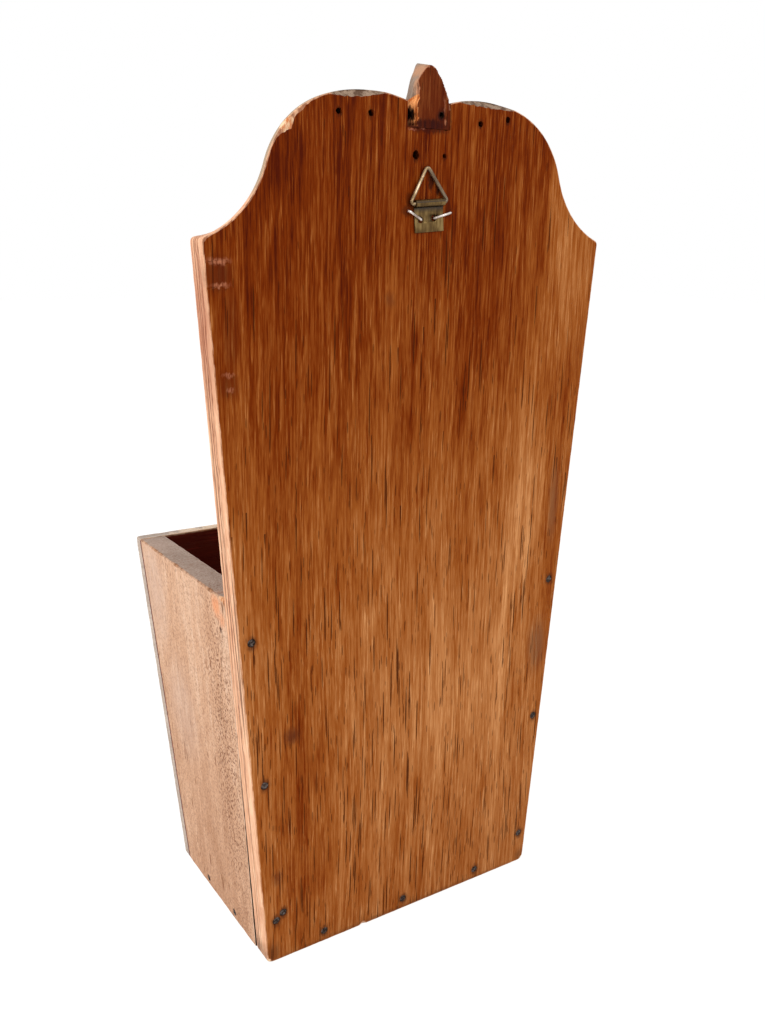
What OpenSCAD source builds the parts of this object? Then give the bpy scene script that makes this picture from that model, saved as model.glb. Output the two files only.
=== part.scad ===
// Antique oak candle box for a wall or a shelf. The tall shaped backboard carries an open box of
// four thin boards, a let-in pointed finial, and a wire hanging ring on a folded brass plate.
// Sizes are in millimetres. +Z is up, the front of the box faces -Y, and the floor is z = 0.

/* [Backboard] */
// Width across the shoulders
shoulder_w = 200; // [180:1:230]
// Width at the foot
base_w = 156; // [140:1:176]
// Height of the shoulder corners
shoulder_h = 330; // [270:1:380]
// Thickness of the backboard
back_t = 12; // [10:0.5:16]

/* [Shaped head] */
// Distance of each hump's highest point from the middle
hump_x = 28; // [24:0.5:34]
// Rise of the humps above the shoulder corners
hump_rise = 56.5; // [50:0.5:64]
// Radius of the flat upper part of a hump
top_arc_r = 64; // [56:0.5:80]
// Radius of the rounder outer part of a hump
side_arc_r = 38; // [32:0.5:44]
// Where the upper arc passes into the outer one, in degrees off the vertical
arc_turn = 20; // [14:0.5:28]
// Radius of the hollow between hump and shoulder
cove_r = 42; // [34:0.5:52]
// Width of the square edge left at the back of the shaped head
edge_land = 2; // [1:0.25:4]
// How far the shaped edge is bevelled in at the front
edge_bevel = 6; // [3:0.25:8]
// How far before the shoulder corner the bevel begins to run out, in degrees of the hollow's arc
bevel_fade = 24; // [12:1:40]

/* [Finial] */
// Width of the finial's foot and of its notch
finial_w = 21.4; // [16:0.2:28]
// Sideways place of the finial
finial_x = -0.6; // [-4:0.1:4]
// Height of the notch's floor above the shoulder corners
notch_up = 44; // [38:0.5:48]
// Height of the finial's back above the notch's floor
finial_h = 23.8; // [18:0.1:34]
// Height of the square foot that fills the notch
finial_foot = 6; // [3:0.5:8]
// Height above the notch's floor where the pointed part begins
finial_spring = 6.5; // [5:0.5:12]
// Width of the blunt tip
finial_tip = 2.6; // [1.5:0.1:5]
// Sideways offset of the tip
finial_skew = -0.6; // [-1.5:0.1:1.5]
// Swell of the finial's sides beyond a straight taper
finial_bulge = 1.7; // [0:0.1:2.5]
// Lean of the finial's front towards the tip
finial_lean = 0.8; // [0:0.1:3]
// Rise of the blunt tip from its back to its front
finial_rise = 2.2; // [0:0.1:3]
// Width of the splinter that has broken off the finial's foot
splinter_w = 5; // [2:0.1:7]
// Depth of that break at the notch's wall
splinter_d = 6; // [2:0.1:8]

/* [Box] */
// Depth of the box at the rim, from the backboard's front face
rim_depth = 110; // [80:1:140]
// Depth of the box at the floor
base_depth = 90; // [66:1:120]
// Rim height at the backboard
rim_h = 182; // [140:1:230]
// Fall of the rim from the backboard to the front
rim_fall = 2; // [0:0.5:8]
// Thickness of the side boards
side_t = 13; // [10:0.5:16]
// Thickness of the front board
front_t = 6.5; // [5:0.25:10]
// Thickness of the bottom board
bottom_t = 11; // [8:0.5:15]
// Width of the opened joint behind the foot of the left side board
joint_gap = 1.2; // [0.3:0.1:2]
// Height at which that opened joint closes
joint_gap_h = 95; // [40:1:120]

/* [Nails] */
// Diameter of a nail's head
nail_head_d = 3.8; // [3:0.1:4.2]
// Thickness of a nail's head
nail_head_t = 0.8; // [0.5:0.1:1.2]
// Diameter of a nail's shank
nail_d = 2; // [1.5:0.1:2.4]
// Length of a nail's point
nail_point = 5; // [3:0.5:8]
// Length of a nail through the backboard or a side board
nail_l = 32; // [26:1:36]
// Length of a nail through the thin front board
front_nail_l = 26; // [18:1:32]
// Room round a nail or a staple in its hole
nail_fit = 0.05; // [0.02:0.01:0.1]
// Distance of the highest nails below the rim
nail_below_rim = 17; // [10:1:30]
// Height of the lowest nails above the floor
nail_above_floor = 22; // [18:1:34]
// Spacing of the nails along the bottom board
bottom_nail_step = 46; // [30:1:50]
// Depth of the first nail through a side into the bottom board, from the back face
side_nail_first = 37; // [34:1:44]
// Spacing of the two nails through a side into the bottom board
side_nail_step = 32; // [12:1:40]

/* [Empty holes] */
// Depth of the empty old nail holes
empty_depth = 6; // [3:0.5:8]
// Diameter of the empty old nail holes
empty_d = 2.4; // [1.5:0.1:3]
// Diameter of the one larger empty hole
empty_wide_d = 3.2; // [2:0.1:4]
// Height of the upper row of empty holes above the shoulder corners
empty_row_up = 48.6; // [40:0.2:49]
// Height of the two lower empty holes above the shoulder corners
empty_low_up = 33.6; // [28:0.2:36]

/* [Hanger] */
// Sideways place of the hanger plate's middle
hanger_x = -1.1; // [-10:0.1:10]
// Height of the ring's axis above the shoulder corners
hanger_up = 15; // [8:0.5:17]
// How far the hanger hangs out of level, in degrees
hanger_tilt = 4.5; // [0:0.5:8]
// Width of the hanger plate
plate_w = 14.6; // [14:0.1:15]
// Thickness of the plate's sheet brass
plate_t = 0.7; // [0.5:0.05:1]
// Length of the plate below the ring's axis
plate_drop = 11.7; // [10:0.1:16]
// Length of the folded-over edge below the roll
flap_l = 0.3; // [0.2:0.1:1.5]
// Diameter of the ring's wire
ring_wire_d = 1.5; // [1.2:0.05:1.8]
// Width of the ring between its two lower corners, on the wire's middle
ring_w = 19.2; // [19:0.1:22]
// Height of the ring from its axis to the upper corner, on the wire's middle
ring_h = 14.8; // [13:0.1:20]
// Sideways shift of the ring in the plate's roll
ring_shift = 0.3; // [0:0.05:0.4]
// Bend radius of the ring's lower corners, on the wire's middle
ring_bend = 0.9; // [0.8:0.05:1]
// Bend radius of the ring's upper corner, on the wire's middle
ring_top_bend = 1.3; // [0.8:0.05:2.5]
// Room round the ring's wire in the plate's roll
roll_fit = 0.05; // [0.02:0.01:0.1]
// Gap between the resting ring and the backboard
ring_rest = 0.3; // [0.3:0.05:0.5]
// Diameter of the staples' wire
staple_d = 1.2; // [0.9:0.05:1.4]
// Bend radius of the staples' corners, on the wire's middle
staple_bend = 0.8; // [0.75:0.05:1.2]
// Depth that the staples' legs go into the backboard
staple_depth = 8; // [5:0.5:9]
// Diameter of the plate's two staple holes
plate_hole_d = 2.4; // [1.8:0.1:2.8]
// Gap between a staple's crown and the plate
staple_rise = 0.1; // [0:0.05:0.3]

/* [Hidden] */
$fn = 48;
far = 1000;                                     // larger than any part of the box
slip = 1;                                       // how far a cutter stands out of what it cuts
bend_over = 5;                                  // degrees a wire's bend runs on inside its neighbours
bend_thin = 0.03;                               // how much thinner a wire is in its bends

// Hanger sections
roll_bore_r = ring_wire_d / 2 + roll_fit;
roll_r = roll_bore_r + plate_t;
ring_lean = asin((roll_r - ring_wire_d / 2 - ring_rest) / ring_h);
crown_rise = plate_t + staple_rise + staple_d / 2;
proud = max(2 * roll_r, crown_rise + staple_d / 2);  // what stands behind the back face

// The origin is in the middle of the footprint, on the floor
back_y = (back_t + rim_depth - proud) / 2;      // the backboard's back face

// Taper of the backboard, which both side boards follow
taper = (shoulder_w - base_w) / 2 / shoulder_h;
side_run = side_t * norm([1, taper]);           // a side board's width along the level
function side_out(h) = base_w / 2 + taper * h;
function side_in(h) = side_out(h) - side_run;
function side_mid(h) = side_out(h) - side_run / 2;

// Lean of the front board and line of the rim, by depth from the back face
rim_front_h = rim_h - rim_fall;
lean = (rim_depth - base_depth) / rim_front_h;
front_angle = atan(lean);
front_run = front_t * norm([1, lean]);
function front_out(h) = back_t + base_depth + lean * h;
function front_in(h) = front_out(h) - front_run;
box_profile = [[back_t, 0], [front_out(0), 0], [front_out(rim_front_h), rim_front_h], [back_t, rim_h]];

// Arc centres of the shaped head, as [sideways, height]
corner = [shoulder_w / 2, shoulder_h];
head_top = shoulder_h + hump_rise;
top_c = [hump_x, head_top - top_arc_r];
side_c = top_c + (top_arc_r - side_arc_r) * [sin(arc_turn), cos(arc_turn)];
to_corner = corner - side_c;
both_r = side_arc_r + cove_r;
cove_turn = atan2(to_corner[1], to_corner[0])
    + acos((pow(both_r, 2) + pow(norm(to_corner), 2) - pow(cove_r, 2)) / (2 * both_r * norm(to_corner)));
cove_c = side_c + both_r * [cos(cove_turn), sin(cove_turn)];
from_cove = corner - cove_c;
cove_sweep = 180 + atan2(from_cove[1], from_cove[0]) - cove_turn;
arc_steps = 12;                                 // straight facets to each arc of the head

// Nails, each as [sideways or depth, height]
nail_top_h = rim_h - nail_below_rim;
nail_mid_h = (nail_top_h + nail_above_floor) / 2;
spare_nail = [-3.2, 3.2];                       // the second nail at the left foot, off the first one
hand = 1.5;                                     // the nails wander this much off their line
left_back_nails = [
    [side_mid(nail_top_h) + hand / 2, nail_top_h],
    [side_mid(nail_mid_h) + hand / 3, nail_mid_h + hand],
    [side_mid(nail_above_floor) + hand / 4, nail_above_floor],
    [side_mid(nail_above_floor) + spare_nail[0], nail_above_floor + spare_nail[1]]
];
right_back_nails = [
    [-side_mid(nail_top_h) - hand, nail_top_h - hand],
    [-side_mid(nail_mid_h) - hand, nail_mid_h - 4 * hand],
    [-side_mid(nail_above_floor) - hand, nail_above_floor - 3 * hand]
];
front_heights = [nail_above_floor, nail_mid_h, nail_top_h - rim_fall];
bottom_nail_h = bottom_t / 2;
bottom_nail_xs = [for (i = [-1 : 1]) hand + i * bottom_nail_step];
side_nail_depths = [side_nail_first, side_nail_first + side_nail_step];

// Empty old holes, as [sideways, height, diameter]
empty_holes = [
    [42.4, shoulder_h + empty_row_up - 0.7, empty_d],
    [27.4, shoulder_h + empty_row_up + 0.4, empty_d],
    [-27.3, shoulder_h + empty_row_up - 1.2, empty_d],
    [-41.9, shoulder_h + empty_row_up + 0.4, empty_d],
    [5.5, shoulder_h + empty_low_up, empty_wide_d],
    [-8.9, shoulder_h + empty_low_up + 0.2, empty_d * 0.75]
];
finial_hole = [-6.9, shoulder_h + empty_row_up + 0.9, empty_d];

// Staple ends in the hanger's own level, as [inner end, outer end] from the ring's axis
left_staple = [[4.3, -6.6], [10.3, -2.7]];
right_staple = [[-2.3, -6.2], [-11, -4.5]];

// Board space: x stays sideways, y becomes height and z becomes depth from the back face
module board_space() {
    translate([0, back_y, 0]) rotate([90, 0, 0]) children();
}

// Draws a [depth, height] outline right across the box, width w, in board space
module across(w) {
    rotate([0, -90, 0]) translate([0, 0, -w / 2]) linear_extrude(w) children();
}

// Hanger space: board space moved to the ring's axis and tilted
module hanger_space() {
    board_space() translate([hanger_x, shoulder_h + hanger_up, 0]) rotate([0, 0, -hanger_tilt]) children();
}

// A nail driven along +z from its head at z = 0, or its hole when grow is the room round it
module nail(len, grow = 0) {
    lift = grow > 0 ? slip : 0;                 // a hole's cutter stands out of the face
    translate([0, 0, -lift]) cylinder(d = nail_head_d + 2 * grow, h = nail_head_t + grow + lift);
    cylinder(d = nail_d + 2 * grow, h = len - nail_point);
    translate([0, 0, len - nail_point])
        cylinder(d1 = nail_d + 2 * grow, d2 = nail_d * 0.2 + 2 * grow, h = nail_point + grow);
}

// Nails from the back face, at [sideways, height] places
module back_nails(places, grow = 0) {
    board_space() for (p = places) translate([p[0], p[1], 0]) nail(nail_l, grow);
}

// Nails from the leaning front face, square to it, at [sideways, height] places
module front_nails(places, grow = 0) {
    board_space() for (p = places)
        translate([p[0], p[1], front_out(p[1])]) rotate([180 - front_angle, 0, 0]) nail(front_nail_l, grow);
}

// Nails through a side board into the bottom board; side is 1 for left and -1 for right
module side_nails(side, grow = 0) {
    board_space() for (d = side_nail_depths)
        translate([side * side_out(bottom_nail_h), bottom_nail_h - hand, d])
            rotate([0, -side * 90, 0]) nail(nail_l, grow);
}

function front_side_places(side) = [for (h = front_heights) [side * side_mid(h), h]];
function bottom_places() = [for (x = bottom_nail_xs) [x, bottom_nail_h]];

// A point at a compass bearing from c, counted clockwise from straight up
function bearing(c, r, angle) = c + r * [sin(angle), cos(angle)];

// Point k of half the head's outline, set in by inset: k counts from the middle of the head, over
// the hump's two arcs and down the hollow to the shoulder corner, with arc_steps to each arc
function head_point(k, inset) =
    let(along = k / arc_steps)
        k <= arc_steps ?
            let(r = top_arc_r - inset, first = -asin(hump_x / r))
                bearing(top_c, r, first + (arc_turn - first) * along)
        : k <= 2 * arc_steps ?
            bearing(side_c, side_arc_r - inset, arc_turn + (90 - cove_turn - arc_turn) * (along - 1))
        : bearing(cove_c, cove_r + inset, -90 - cove_turn - cove_sweep * (along - 2));

// Share of the full bevel at point k, which runs out towards the shoulder corner
function bevel_share(k) =
    let(left = min(1, cove_sweep * (3 - k / arc_steps) / bevel_fade)) left * left * (3 - 2 * left);

// The whole board's outline, clockwise as seen with x to the right
function board_outline() =
    let(half = [for (k = [0 : 3 * arc_steps]) head_point(k, 0)], last = len(half) - 1)
        concat(half, [[side_out(0), 0], [-side_out(0), 0]],
            [for (i = [last : -1 : 1]) [-half[i][0], half[i][1]]]);

// What the bevel takes off half the head: a three-sided bar that follows the outline
module bevel_bar() {
    slope = edge_bevel / (back_t - edge_land);
    clear = 0.5;
    points = [for (k = [-1 : 3 * arc_steps]) let(w = bevel_share(k), off = clear * (1 - w)) each [
        [each head_point(k, -slope * slip * w - off), edge_land - slip],
        [each head_point(k, (edge_bevel + slope * slip) * w - off), back_t + slip],
        [each head_point(k, -4 * slip), back_t + slip]]];
    rows = len(points) / 3;
    sides = [for (k = [0 : rows - 2]) for (j = [0 : 2])
        let(a = 3 * k + j, b = 3 * k + (j + 1) % 3, c = b + 3, d = a + 3) each [[a, b, c], [a, c, d]]];
    ends = [[2, 1, 0], [3 * rows - 3, 3 * rows - 2, 3 * rows - 1]];
    polyhedron(points, concat(sides, ends), convexity = 6);
}

// The board with its head's edge square at the back and bevelled to the front
module shaped_board() {
    difference() {
        linear_extrude(back_t) polygon(board_outline());
        bevel_bar();
        mirror([1, 0, 0]) bevel_bar();
    }
}

module backboard() {
    color("saddlebrown") difference() {
        board_space() difference() {
            shaped_board();
            translate([finial_x - finial_w / 2, shoulder_h + notch_up, -slip])
                cube([finial_w, far, back_t + 2 * slip]);
            for (e = empty_holes) translate([e[0], e[1], -slip]) cylinder(d = e[2], h = empty_depth + slip);
        }
        back_nails(concat(left_back_nails, right_back_nails, bottom_places()), nail_fit);
        hanger_space() {
            staple(left_staple, nail_fit);
            staple(right_staple, nail_fit);
        }
    }
}

// How far height h lies up the pointed part, from 0 to 1
function finial_up(h) = max(0, (h - finial_spring) / (finial_h - finial_spring));
// Half width of the finial, t up the pointed part
function finial_half(t) =
    finial_tip / 2 + (finial_w - finial_tip) / 2 * (1 - t) + 4 * finial_bulge * t * (1 - t);
// A point of the finial's half-round section at height h, by its angle from the left edge
function finial_point(h, angle) =
    let(t = finial_up(h), grown = pow(h / finial_h, 2), deep = (back_t - finial_lean * grown) * sin(angle))
        [finial_half(t) * cos(angle) + finial_skew * t, h + finial_rise * grown * deep / back_t, deep];

// The finial's pointed body: flat at the back and rounded at the front
module finial_body() {
    rows = 14;
    cols = 16;
    points = [for (i = [0 : rows]) for (j = [0 : cols]) finial_point(finial_h * i / rows, 180 * j / cols)];
    wide = cols + 1;
    sides = [for (i = [0 : rows - 1]) for (j = [0 : cols])
        [i * wide + j, i * wide + (j + 1) % wide, (i + 1) * wide + (j + 1) % wide, (i + 1) * wide + j]];
    foot = [[for (j = [cols : -1 : 0]) j]];
    tip = [[for (j = [0 : cols]) rows * wide + j]];
    polyhedron(points, concat(foot, sides, tip), convexity = 4);
}

module finial() {
    color("sienna") board_space() translate([finial_x, shoulder_h + notch_up, 0]) difference() {
        union() {
            finial_body();
            translate([-finial_w / 2, 0, 0]) cube([finial_w, finial_foot, back_t]);
        }
        translate([0, slip, 0]) rotate([-90, 0, 0])
            linear_extrude(far)
                polygon([[finial_w / 2 - splinter_w, 0], [finial_w / 2 - splinter_w, slip],
                    [finial_w, slip], [finial_w, -splinter_d], [finial_w / 2, -splinter_d]]);
        translate([finial_hole[0] - finial_x, finial_hole[1] - shoulder_h - notch_up, -slip])
            cylinder(d = finial_hole[2], h = empty_depth + slip);
    }
}

// The front board's strip of the box outline, in [depth, height]
module front_strip() {
    polygon([[front_in(-slip), -slip], [front_out(-slip) + slip, -slip],
        [front_out(2 * rim_h) + slip, 2 * rim_h], [front_in(2 * rim_h), 2 * rim_h]]);
}

// A side board, drawn as the left one
module side_board(gap) {
    intersection() {
        across(far) difference() {
            polygon(box_profile);
            front_strip();
            if (gap > 0) polygon([[back_t - slip, -slip], [back_t + gap, -slip],
                [back_t + gap, 0], [back_t, joint_gap_h], [back_t - slip, joint_gap_h]]);
        }
        linear_extrude(far)
            polygon([[side_in(0), 0], [side_out(0), 0], [side_out(rim_h), rim_h], [side_in(rim_h), rim_h]]);
    }
}

module left_side_board() {
    color("peru") difference() {
        board_space() side_board(joint_gap);
        back_nails(left_back_nails, nail_fit);
        front_nails(front_side_places(1), nail_fit);
        side_nails(1, nail_fit);
    }
}

module right_side_board() {
    color("peru") difference() {
        board_space() mirror([1, 0, 0]) side_board(0);
        back_nails(right_back_nails, nail_fit);
        front_nails(front_side_places(-1), nail_fit);
        side_nails(-1, nail_fit);
    }
}

module front_board() {
    color("chocolate") difference() {
        board_space() intersection() {
            across(far) intersection() {
                polygon(box_profile);
                front_strip();
            }
            linear_extrude(far)
                polygon([[-side_out(0), 0], [side_out(0), 0], [side_out(rim_h), rim_h],
                    [-side_out(rim_h), rim_h]]);
        }
        front_nails(concat(front_side_places(1), front_side_places(-1), bottom_places()), nail_fit);
    }
}

module bottom_board() {
    color("tan") difference() {
        board_space() intersection() {
            across(far)
                polygon([[back_t, 0], [front_in(0), 0], [front_in(bottom_t), bottom_t], [back_t, bottom_t]]);
            linear_extrude(far)
                polygon([[-side_in(0), 0], [side_in(0), 0], [side_in(bottom_t), bottom_t],
                    [-side_in(bottom_t), bottom_t]]);
        }
        back_nails(bottom_places(), nail_fit);
        front_nails(bottom_places(), nail_fit);
        side_nails(1, nail_fit);
        side_nails(-1, nail_fit);
    }
}

// Sheet brass: a flat plate, rolled at the top round the ring's wire and folded down in front
module hanger_plate() {
    color("darkkhaki") hanger_space() difference() {
        across(plate_w) difference() {
            union() {
                translate([-plate_t, -plate_drop]) square([plate_t, plate_drop]);
                translate([-roll_r, 0]) circle(r = roll_r);
                translate([-2 * plate_t, -roll_r - flap_l]) square([plate_t, roll_r + flap_l - roll_bore_r]);
            }
            translate([-roll_r, 0]) circle(r = roll_bore_r);
        }
        for (s = [left_staple, right_staple])
            translate([s[0][0], s[0][1], -plate_t - slip]) cylinder(d = plate_hole_d, h = plate_t + 2 * slip);
    }
}

// A bend of wire d about the origin, from angle 0 to turn, that runs on inside its neighbours
module wire_bend(r, turn, d) {
    rotate([0, 0, -bend_over])
        rotate_extrude(angle = turn + 2 * bend_over) translate([r, 0]) circle(d = d - bend_thin);
}

// A bend of the ring at corner p, between the directions of its two straight runs
module bend(p, dir_a, dir_b, r) {
    half = acos(dir_a * dir_b) / 2;
    middle = (dir_a + dir_b) / norm(dir_a + dir_b);
    centre = p + middle * r / sin(half);
    start = atan2(-middle[1], -middle[0]) - (90 - half);
    translate(centre) rotate([0, 0, start]) wire_bend(r, 180 - 2 * half, ring_wire_d);
}

// A straight run of the ring from corner a to corner b, less the bends at its ends
module run(a, b, cut_a, cut_b) {
    way = (b - a) / norm(b - a);
    from = a + way * cut_a;
    translate(from) rotate([0, 0, atan2(way[1], way[0])]) rotate([0, 90, 0])
        cylinder(d = ring_wire_d, h = norm(b - a) - cut_a - cut_b);
}

module hanger_ring() {
    left = [ring_shift + ring_w / 2, 0];
    right = [ring_shift - ring_w / 2, 0];
    top = [ring_shift, ring_h];
    slope = atan2(ring_h, ring_w / 2);
    low_cut = ring_bend / tan(slope / 2);
    top_cut = ring_top_bend / tan(90 - slope);
    up_left = (top - left) / norm(top - left);
    up_right = (top - right) / norm(top - right);
    color("lightgoldenrodyellow") hanger_space() translate([0, 0, -roll_r]) rotate([ring_lean, 0, 0]) {
        run(left, right, low_cut, low_cut);
        run(left, top, low_cut, top_cut);
        run(right, top, low_cut, top_cut);
        bend(left, [-1, 0], up_left, ring_bend);
        bend(right, [1, 0], up_right, ring_bend);
        bend(top, -up_left, -up_right, ring_top_bend);
    }
}

// A staple: its crown lies over the plate's edge, one leg through the plate and one beside it
module staple(ends, grow = 0) {
    d = staple_d + 2 * grow;
    way = ends[1] - ends[0];
    leg = crown_rise + staple_depth + grow - staple_bend;
    crown = norm(way) - 2 * staple_bend;
    translate([ends[0][0], ends[0][1], -crown_rise]) rotate([0, 0, atan2(way[1], way[0])])
        translate([staple_bend, 0, staple_bend]) {
            translate([-staple_bend, 0, 0]) cylinder(d = d, h = leg);
            translate([crown + staple_bend, 0, 0]) cylinder(d = d, h = leg);
            translate([0, 0, -staple_bend]) rotate([0, 90, 0]) cylinder(d = d, h = crown);
            staple_elbow(180, d);
            translate([crown, 0, 0]) staple_elbow(270, d);
        }
}

// A quarter bend between a staple's leg and its crown
module staple_elbow(turn, d) {
    rotate([90, 0, 0]) rotate([0, 0, turn]) wire_bend(staple_bend, 90, d);
}

module hanger_staple_left() {
    color("silver") hanger_space() staple(left_staple);
}

module hanger_staple_right() {
    color("silver") hanger_space() staple(right_staple);
}

module nails_back_to_left_side() {
    color("dimgray") back_nails(left_back_nails);
}

module nails_back_to_right_side() {
    color("dimgray") back_nails(right_back_nails);
}

module nails_back_to_bottom() {
    color("dimgray") back_nails(bottom_places());
}

module nails_front_to_left_side() {
    color("dimgray") front_nails(front_side_places(1));
}

module nails_front_to_right_side() {
    color("dimgray") front_nails(front_side_places(-1));
}

module nails_front_to_bottom() {
    color("dimgray") front_nails(bottom_places());
}

module nails_left_side_to_bottom() {
    color("dimgray") side_nails(1);
}

module nails_right_side_to_bottom() {
    color("dimgray") side_nails(-1);
}

backboard();
finial();
left_side_board();
right_side_board();
front_board();
bottom_board();
hanger_plate();
hanger_ring();
hanger_staple_left();
hanger_staple_right();
nails_back_to_left_side();
nails_back_to_right_side();
nails_back_to_bottom();
nails_front_to_left_side();
nails_front_to_right_side();
nails_front_to_bottom();
nails_left_side_to_bottom();
nails_right_side_to_bottom();
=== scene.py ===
import math

import bmesh
import bpy
import numpy as np
from mathutils import Matrix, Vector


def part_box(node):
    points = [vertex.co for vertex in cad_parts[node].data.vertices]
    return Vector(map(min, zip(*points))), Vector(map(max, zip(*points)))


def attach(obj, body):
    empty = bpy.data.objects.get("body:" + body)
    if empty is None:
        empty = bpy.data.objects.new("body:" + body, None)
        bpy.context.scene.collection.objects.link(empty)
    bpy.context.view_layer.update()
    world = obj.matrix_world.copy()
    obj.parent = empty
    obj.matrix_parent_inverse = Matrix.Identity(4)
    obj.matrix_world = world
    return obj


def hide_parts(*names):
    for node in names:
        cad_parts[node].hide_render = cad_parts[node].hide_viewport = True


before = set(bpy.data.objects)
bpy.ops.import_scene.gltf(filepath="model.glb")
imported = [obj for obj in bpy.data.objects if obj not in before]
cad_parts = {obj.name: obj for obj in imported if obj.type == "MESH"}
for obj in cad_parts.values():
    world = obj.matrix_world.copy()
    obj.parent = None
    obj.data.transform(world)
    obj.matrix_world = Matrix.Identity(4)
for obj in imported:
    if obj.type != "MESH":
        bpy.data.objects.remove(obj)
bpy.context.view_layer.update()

# Antique oak candle box, seen from behind. Shapes are worked out in millimetres in board space:
# x sideways, h up and d deep, counted from the back face of the backboard towards the front.
mm = 0.001
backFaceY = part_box("backboard")[1].y / mm       # row y of the back face
scene = bpy.context.scene


def toFrame(x, h, d):
    # board space to metres in the row frame
    x, h, d = np.broadcast_arrays(x, h, d)
    return np.stack([x, backFaceY - d, h], -1) * mm


# camera, light and floor
viewpoint = {
    "place": (0.248434, 0.412446, 0.335783),
    "right": (-0.84058, 0.54137, 0.01829),
    "down": (0.13678, 0.24480, -0.95988),
    "forward": (-0.52413, -0.80436, -0.27982),
    "lens": 34.68, "sensor": 36.0,              # mm, and the sensor is as high as that
}
studio = {
    "worldLight": 0.66,                         # how strongly the white surroundings light the box
    "keyPlace": (1.25, -0.35, 0.95), "keySize": 1.1, "keyPower": 17.0,
    "fillPlace": (-0.2, 1.5, 1.1), "fillSize": 1.6, "fillPower": 12.0, "target": (0, 0, 0.2),
    "floorColour": (232, 230, 226), "floorWhiten": 0.8, "floorGlow": 1.15,
    "floorHalf": 4.0, "floorDrop": 0.0002,
}
white = (1, 1, 1, 1)


class Wire:
    # what a shader node gives out; it adds, subtracts and multiplies as a number does
    def __init__(self, socket):
        self.socket = socket
        self.tree = socket.id_data

    def calc(self, operation, other=0.0):
        return put(self.tree, "Math", {0: self, 1: other}, operation=operation)

    def __add__(self, other):
        return self.calc("ADD", other)

    def __sub__(self, other):
        return self.calc("SUBTRACT", other)

    def __mul__(self, other):
        return self.calc("MULTIPLY", other)

    __radd__ = __add__
    __rmul__ = __mul__


def linear(*rgb):
    # 0 to 255 screen colour to the linear colour that a shader wants
    c = np.array(rgb, float) / 255
    c = np.where(c <= 0.04045, c / 12.92, ((c + 0.055) / 1.055) ** 2.4)
    return (*c.tolist(), 1.0)


def feed(socket, value):
    if isinstance(value, Wire):
        value.tree.links.new(value.socket, socket)
    elif socket.type == "RGBA" and len(value) == 3:
        socket.default_value = linear(*value)
    else:
        socket.default_value = value


def put(tree, kind, inputs=None, out=0, **settings):
    # adds a shader node, sets it up, connects what comes in and gives the output, or several by name
    node = tree.nodes.new("ShaderNode" + kind)
    for key, value in settings.items():
        setattr(node, key, value)
    for key, value in (inputs or {}).items():
        feed(node.inputs[key], value)
    if isinstance(out, tuple):
        return [Wire(node.outputs[key]) for key in out]
    return Wire(node.outputs[out]) if node.outputs else None


def blendColour(share, a, b):
    return put(share.tree, "Mix", {0: share, 6: a, 7: b}, 2, data_type="RGBA")


def fade(value, low, high, toLow=0.0, toHigh=1.0):
    # smooth step from toLow to toHigh as value goes from low to high
    return put(value.tree, "MapRange", {0: value, 1: low, 2: high, 3: toLow, 4: toHigh},
               interpolation_type="SMOOTHSTEP")


def stretch(place, scale, shift=(0, 0, 0)):
    return put(place.tree, "Mapping", {"Vector": place, "Scale": scale, "Location": shift})


def cloud(place, scale, detail=2.0, rough=0.5, out="Fac"):
    # noise with its own fineness along each axis
    return put(place.tree, "TexNoise", {"Vector": stretch(place, scale), "Scale": 1.0, "Detail": detail,
                                        "Roughness": rough}, out)


def vectorMath(operation, a, b, out=0):
    return put(a.tree, "VectorMath", {0: a, 1: b}, out, operation=operation)


def shaken(place, scale, reach, detail=3.0):
    # the place moved to and fro by noise, by half the reach at most
    noise = vectorMath("SUBTRACT", cloud(place, scale, detail, out="Color"), (0.5, 0.5, 0.5))
    return vectorMath("ADD", place, vectorMath("MULTIPLY", noise, reach))


def emptyTree(owner):
    owner.use_nodes = True
    owner.node_tree.nodes.clear()
    return owner.node_tree


def newObject(name, data):
    thing = bpy.data.objects.new(name, data)
    scene.collection.objects.link(thing)
    return thing


def whiteForCamera(tree, level=None):
    # level for light that spreads, rising to 1 where the camera, a gloss or a glass looks
    rays = ("Is Camera Ray", "Is Glossy Ray", "Is Transmission Ray")
    camera, gloss, glass = put(tree, "LightPath", None, rays)
    seen = camera.calc("MAXIMUM", gloss).calc("MAXIMUM", glass)
    return seen if level is None else fade(seen, 0.0, 1.0, level, 1.0)


def turned(place, right, up, back):
    # placed, with its own axes along the three directions
    return Matrix.Translation(place) @ Matrix(np.array([right, up, back]).T.tolist()).to_4x4()


def makeCamera(look):
    camera = newObject("camera", bpy.data.cameras.new("camera"))
    camera.data.sensor_fit = "VERTICAL"
    camera.data.sensor_height = look["sensor"]
    camera.data.lens = look["lens"]
    up, back = -np.array([look["down"], look["forward"]])
    camera.matrix_world = turned(look["place"], look["right"], up, back)
    scene.camera = camera


def makeLamp(name, look):
    lamp = newObject(name + "Lamp", bpy.data.lights.new(name + "Lamp", "AREA"))
    lamp.data.shape = "DISK"
    lamp.data.size = look[name + "Size"]
    lamp.data.energy = look[name + "Power"]
    back = np.array(look[name + "Place"], float) - look["target"]
    back /= np.linalg.norm(back)
    right = np.cross((0, 0, 1), back)
    right /= np.linalg.norm(right)
    lamp.matrix_world = turned(look[name + "Place"], right, np.cross(back, right), back)


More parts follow.
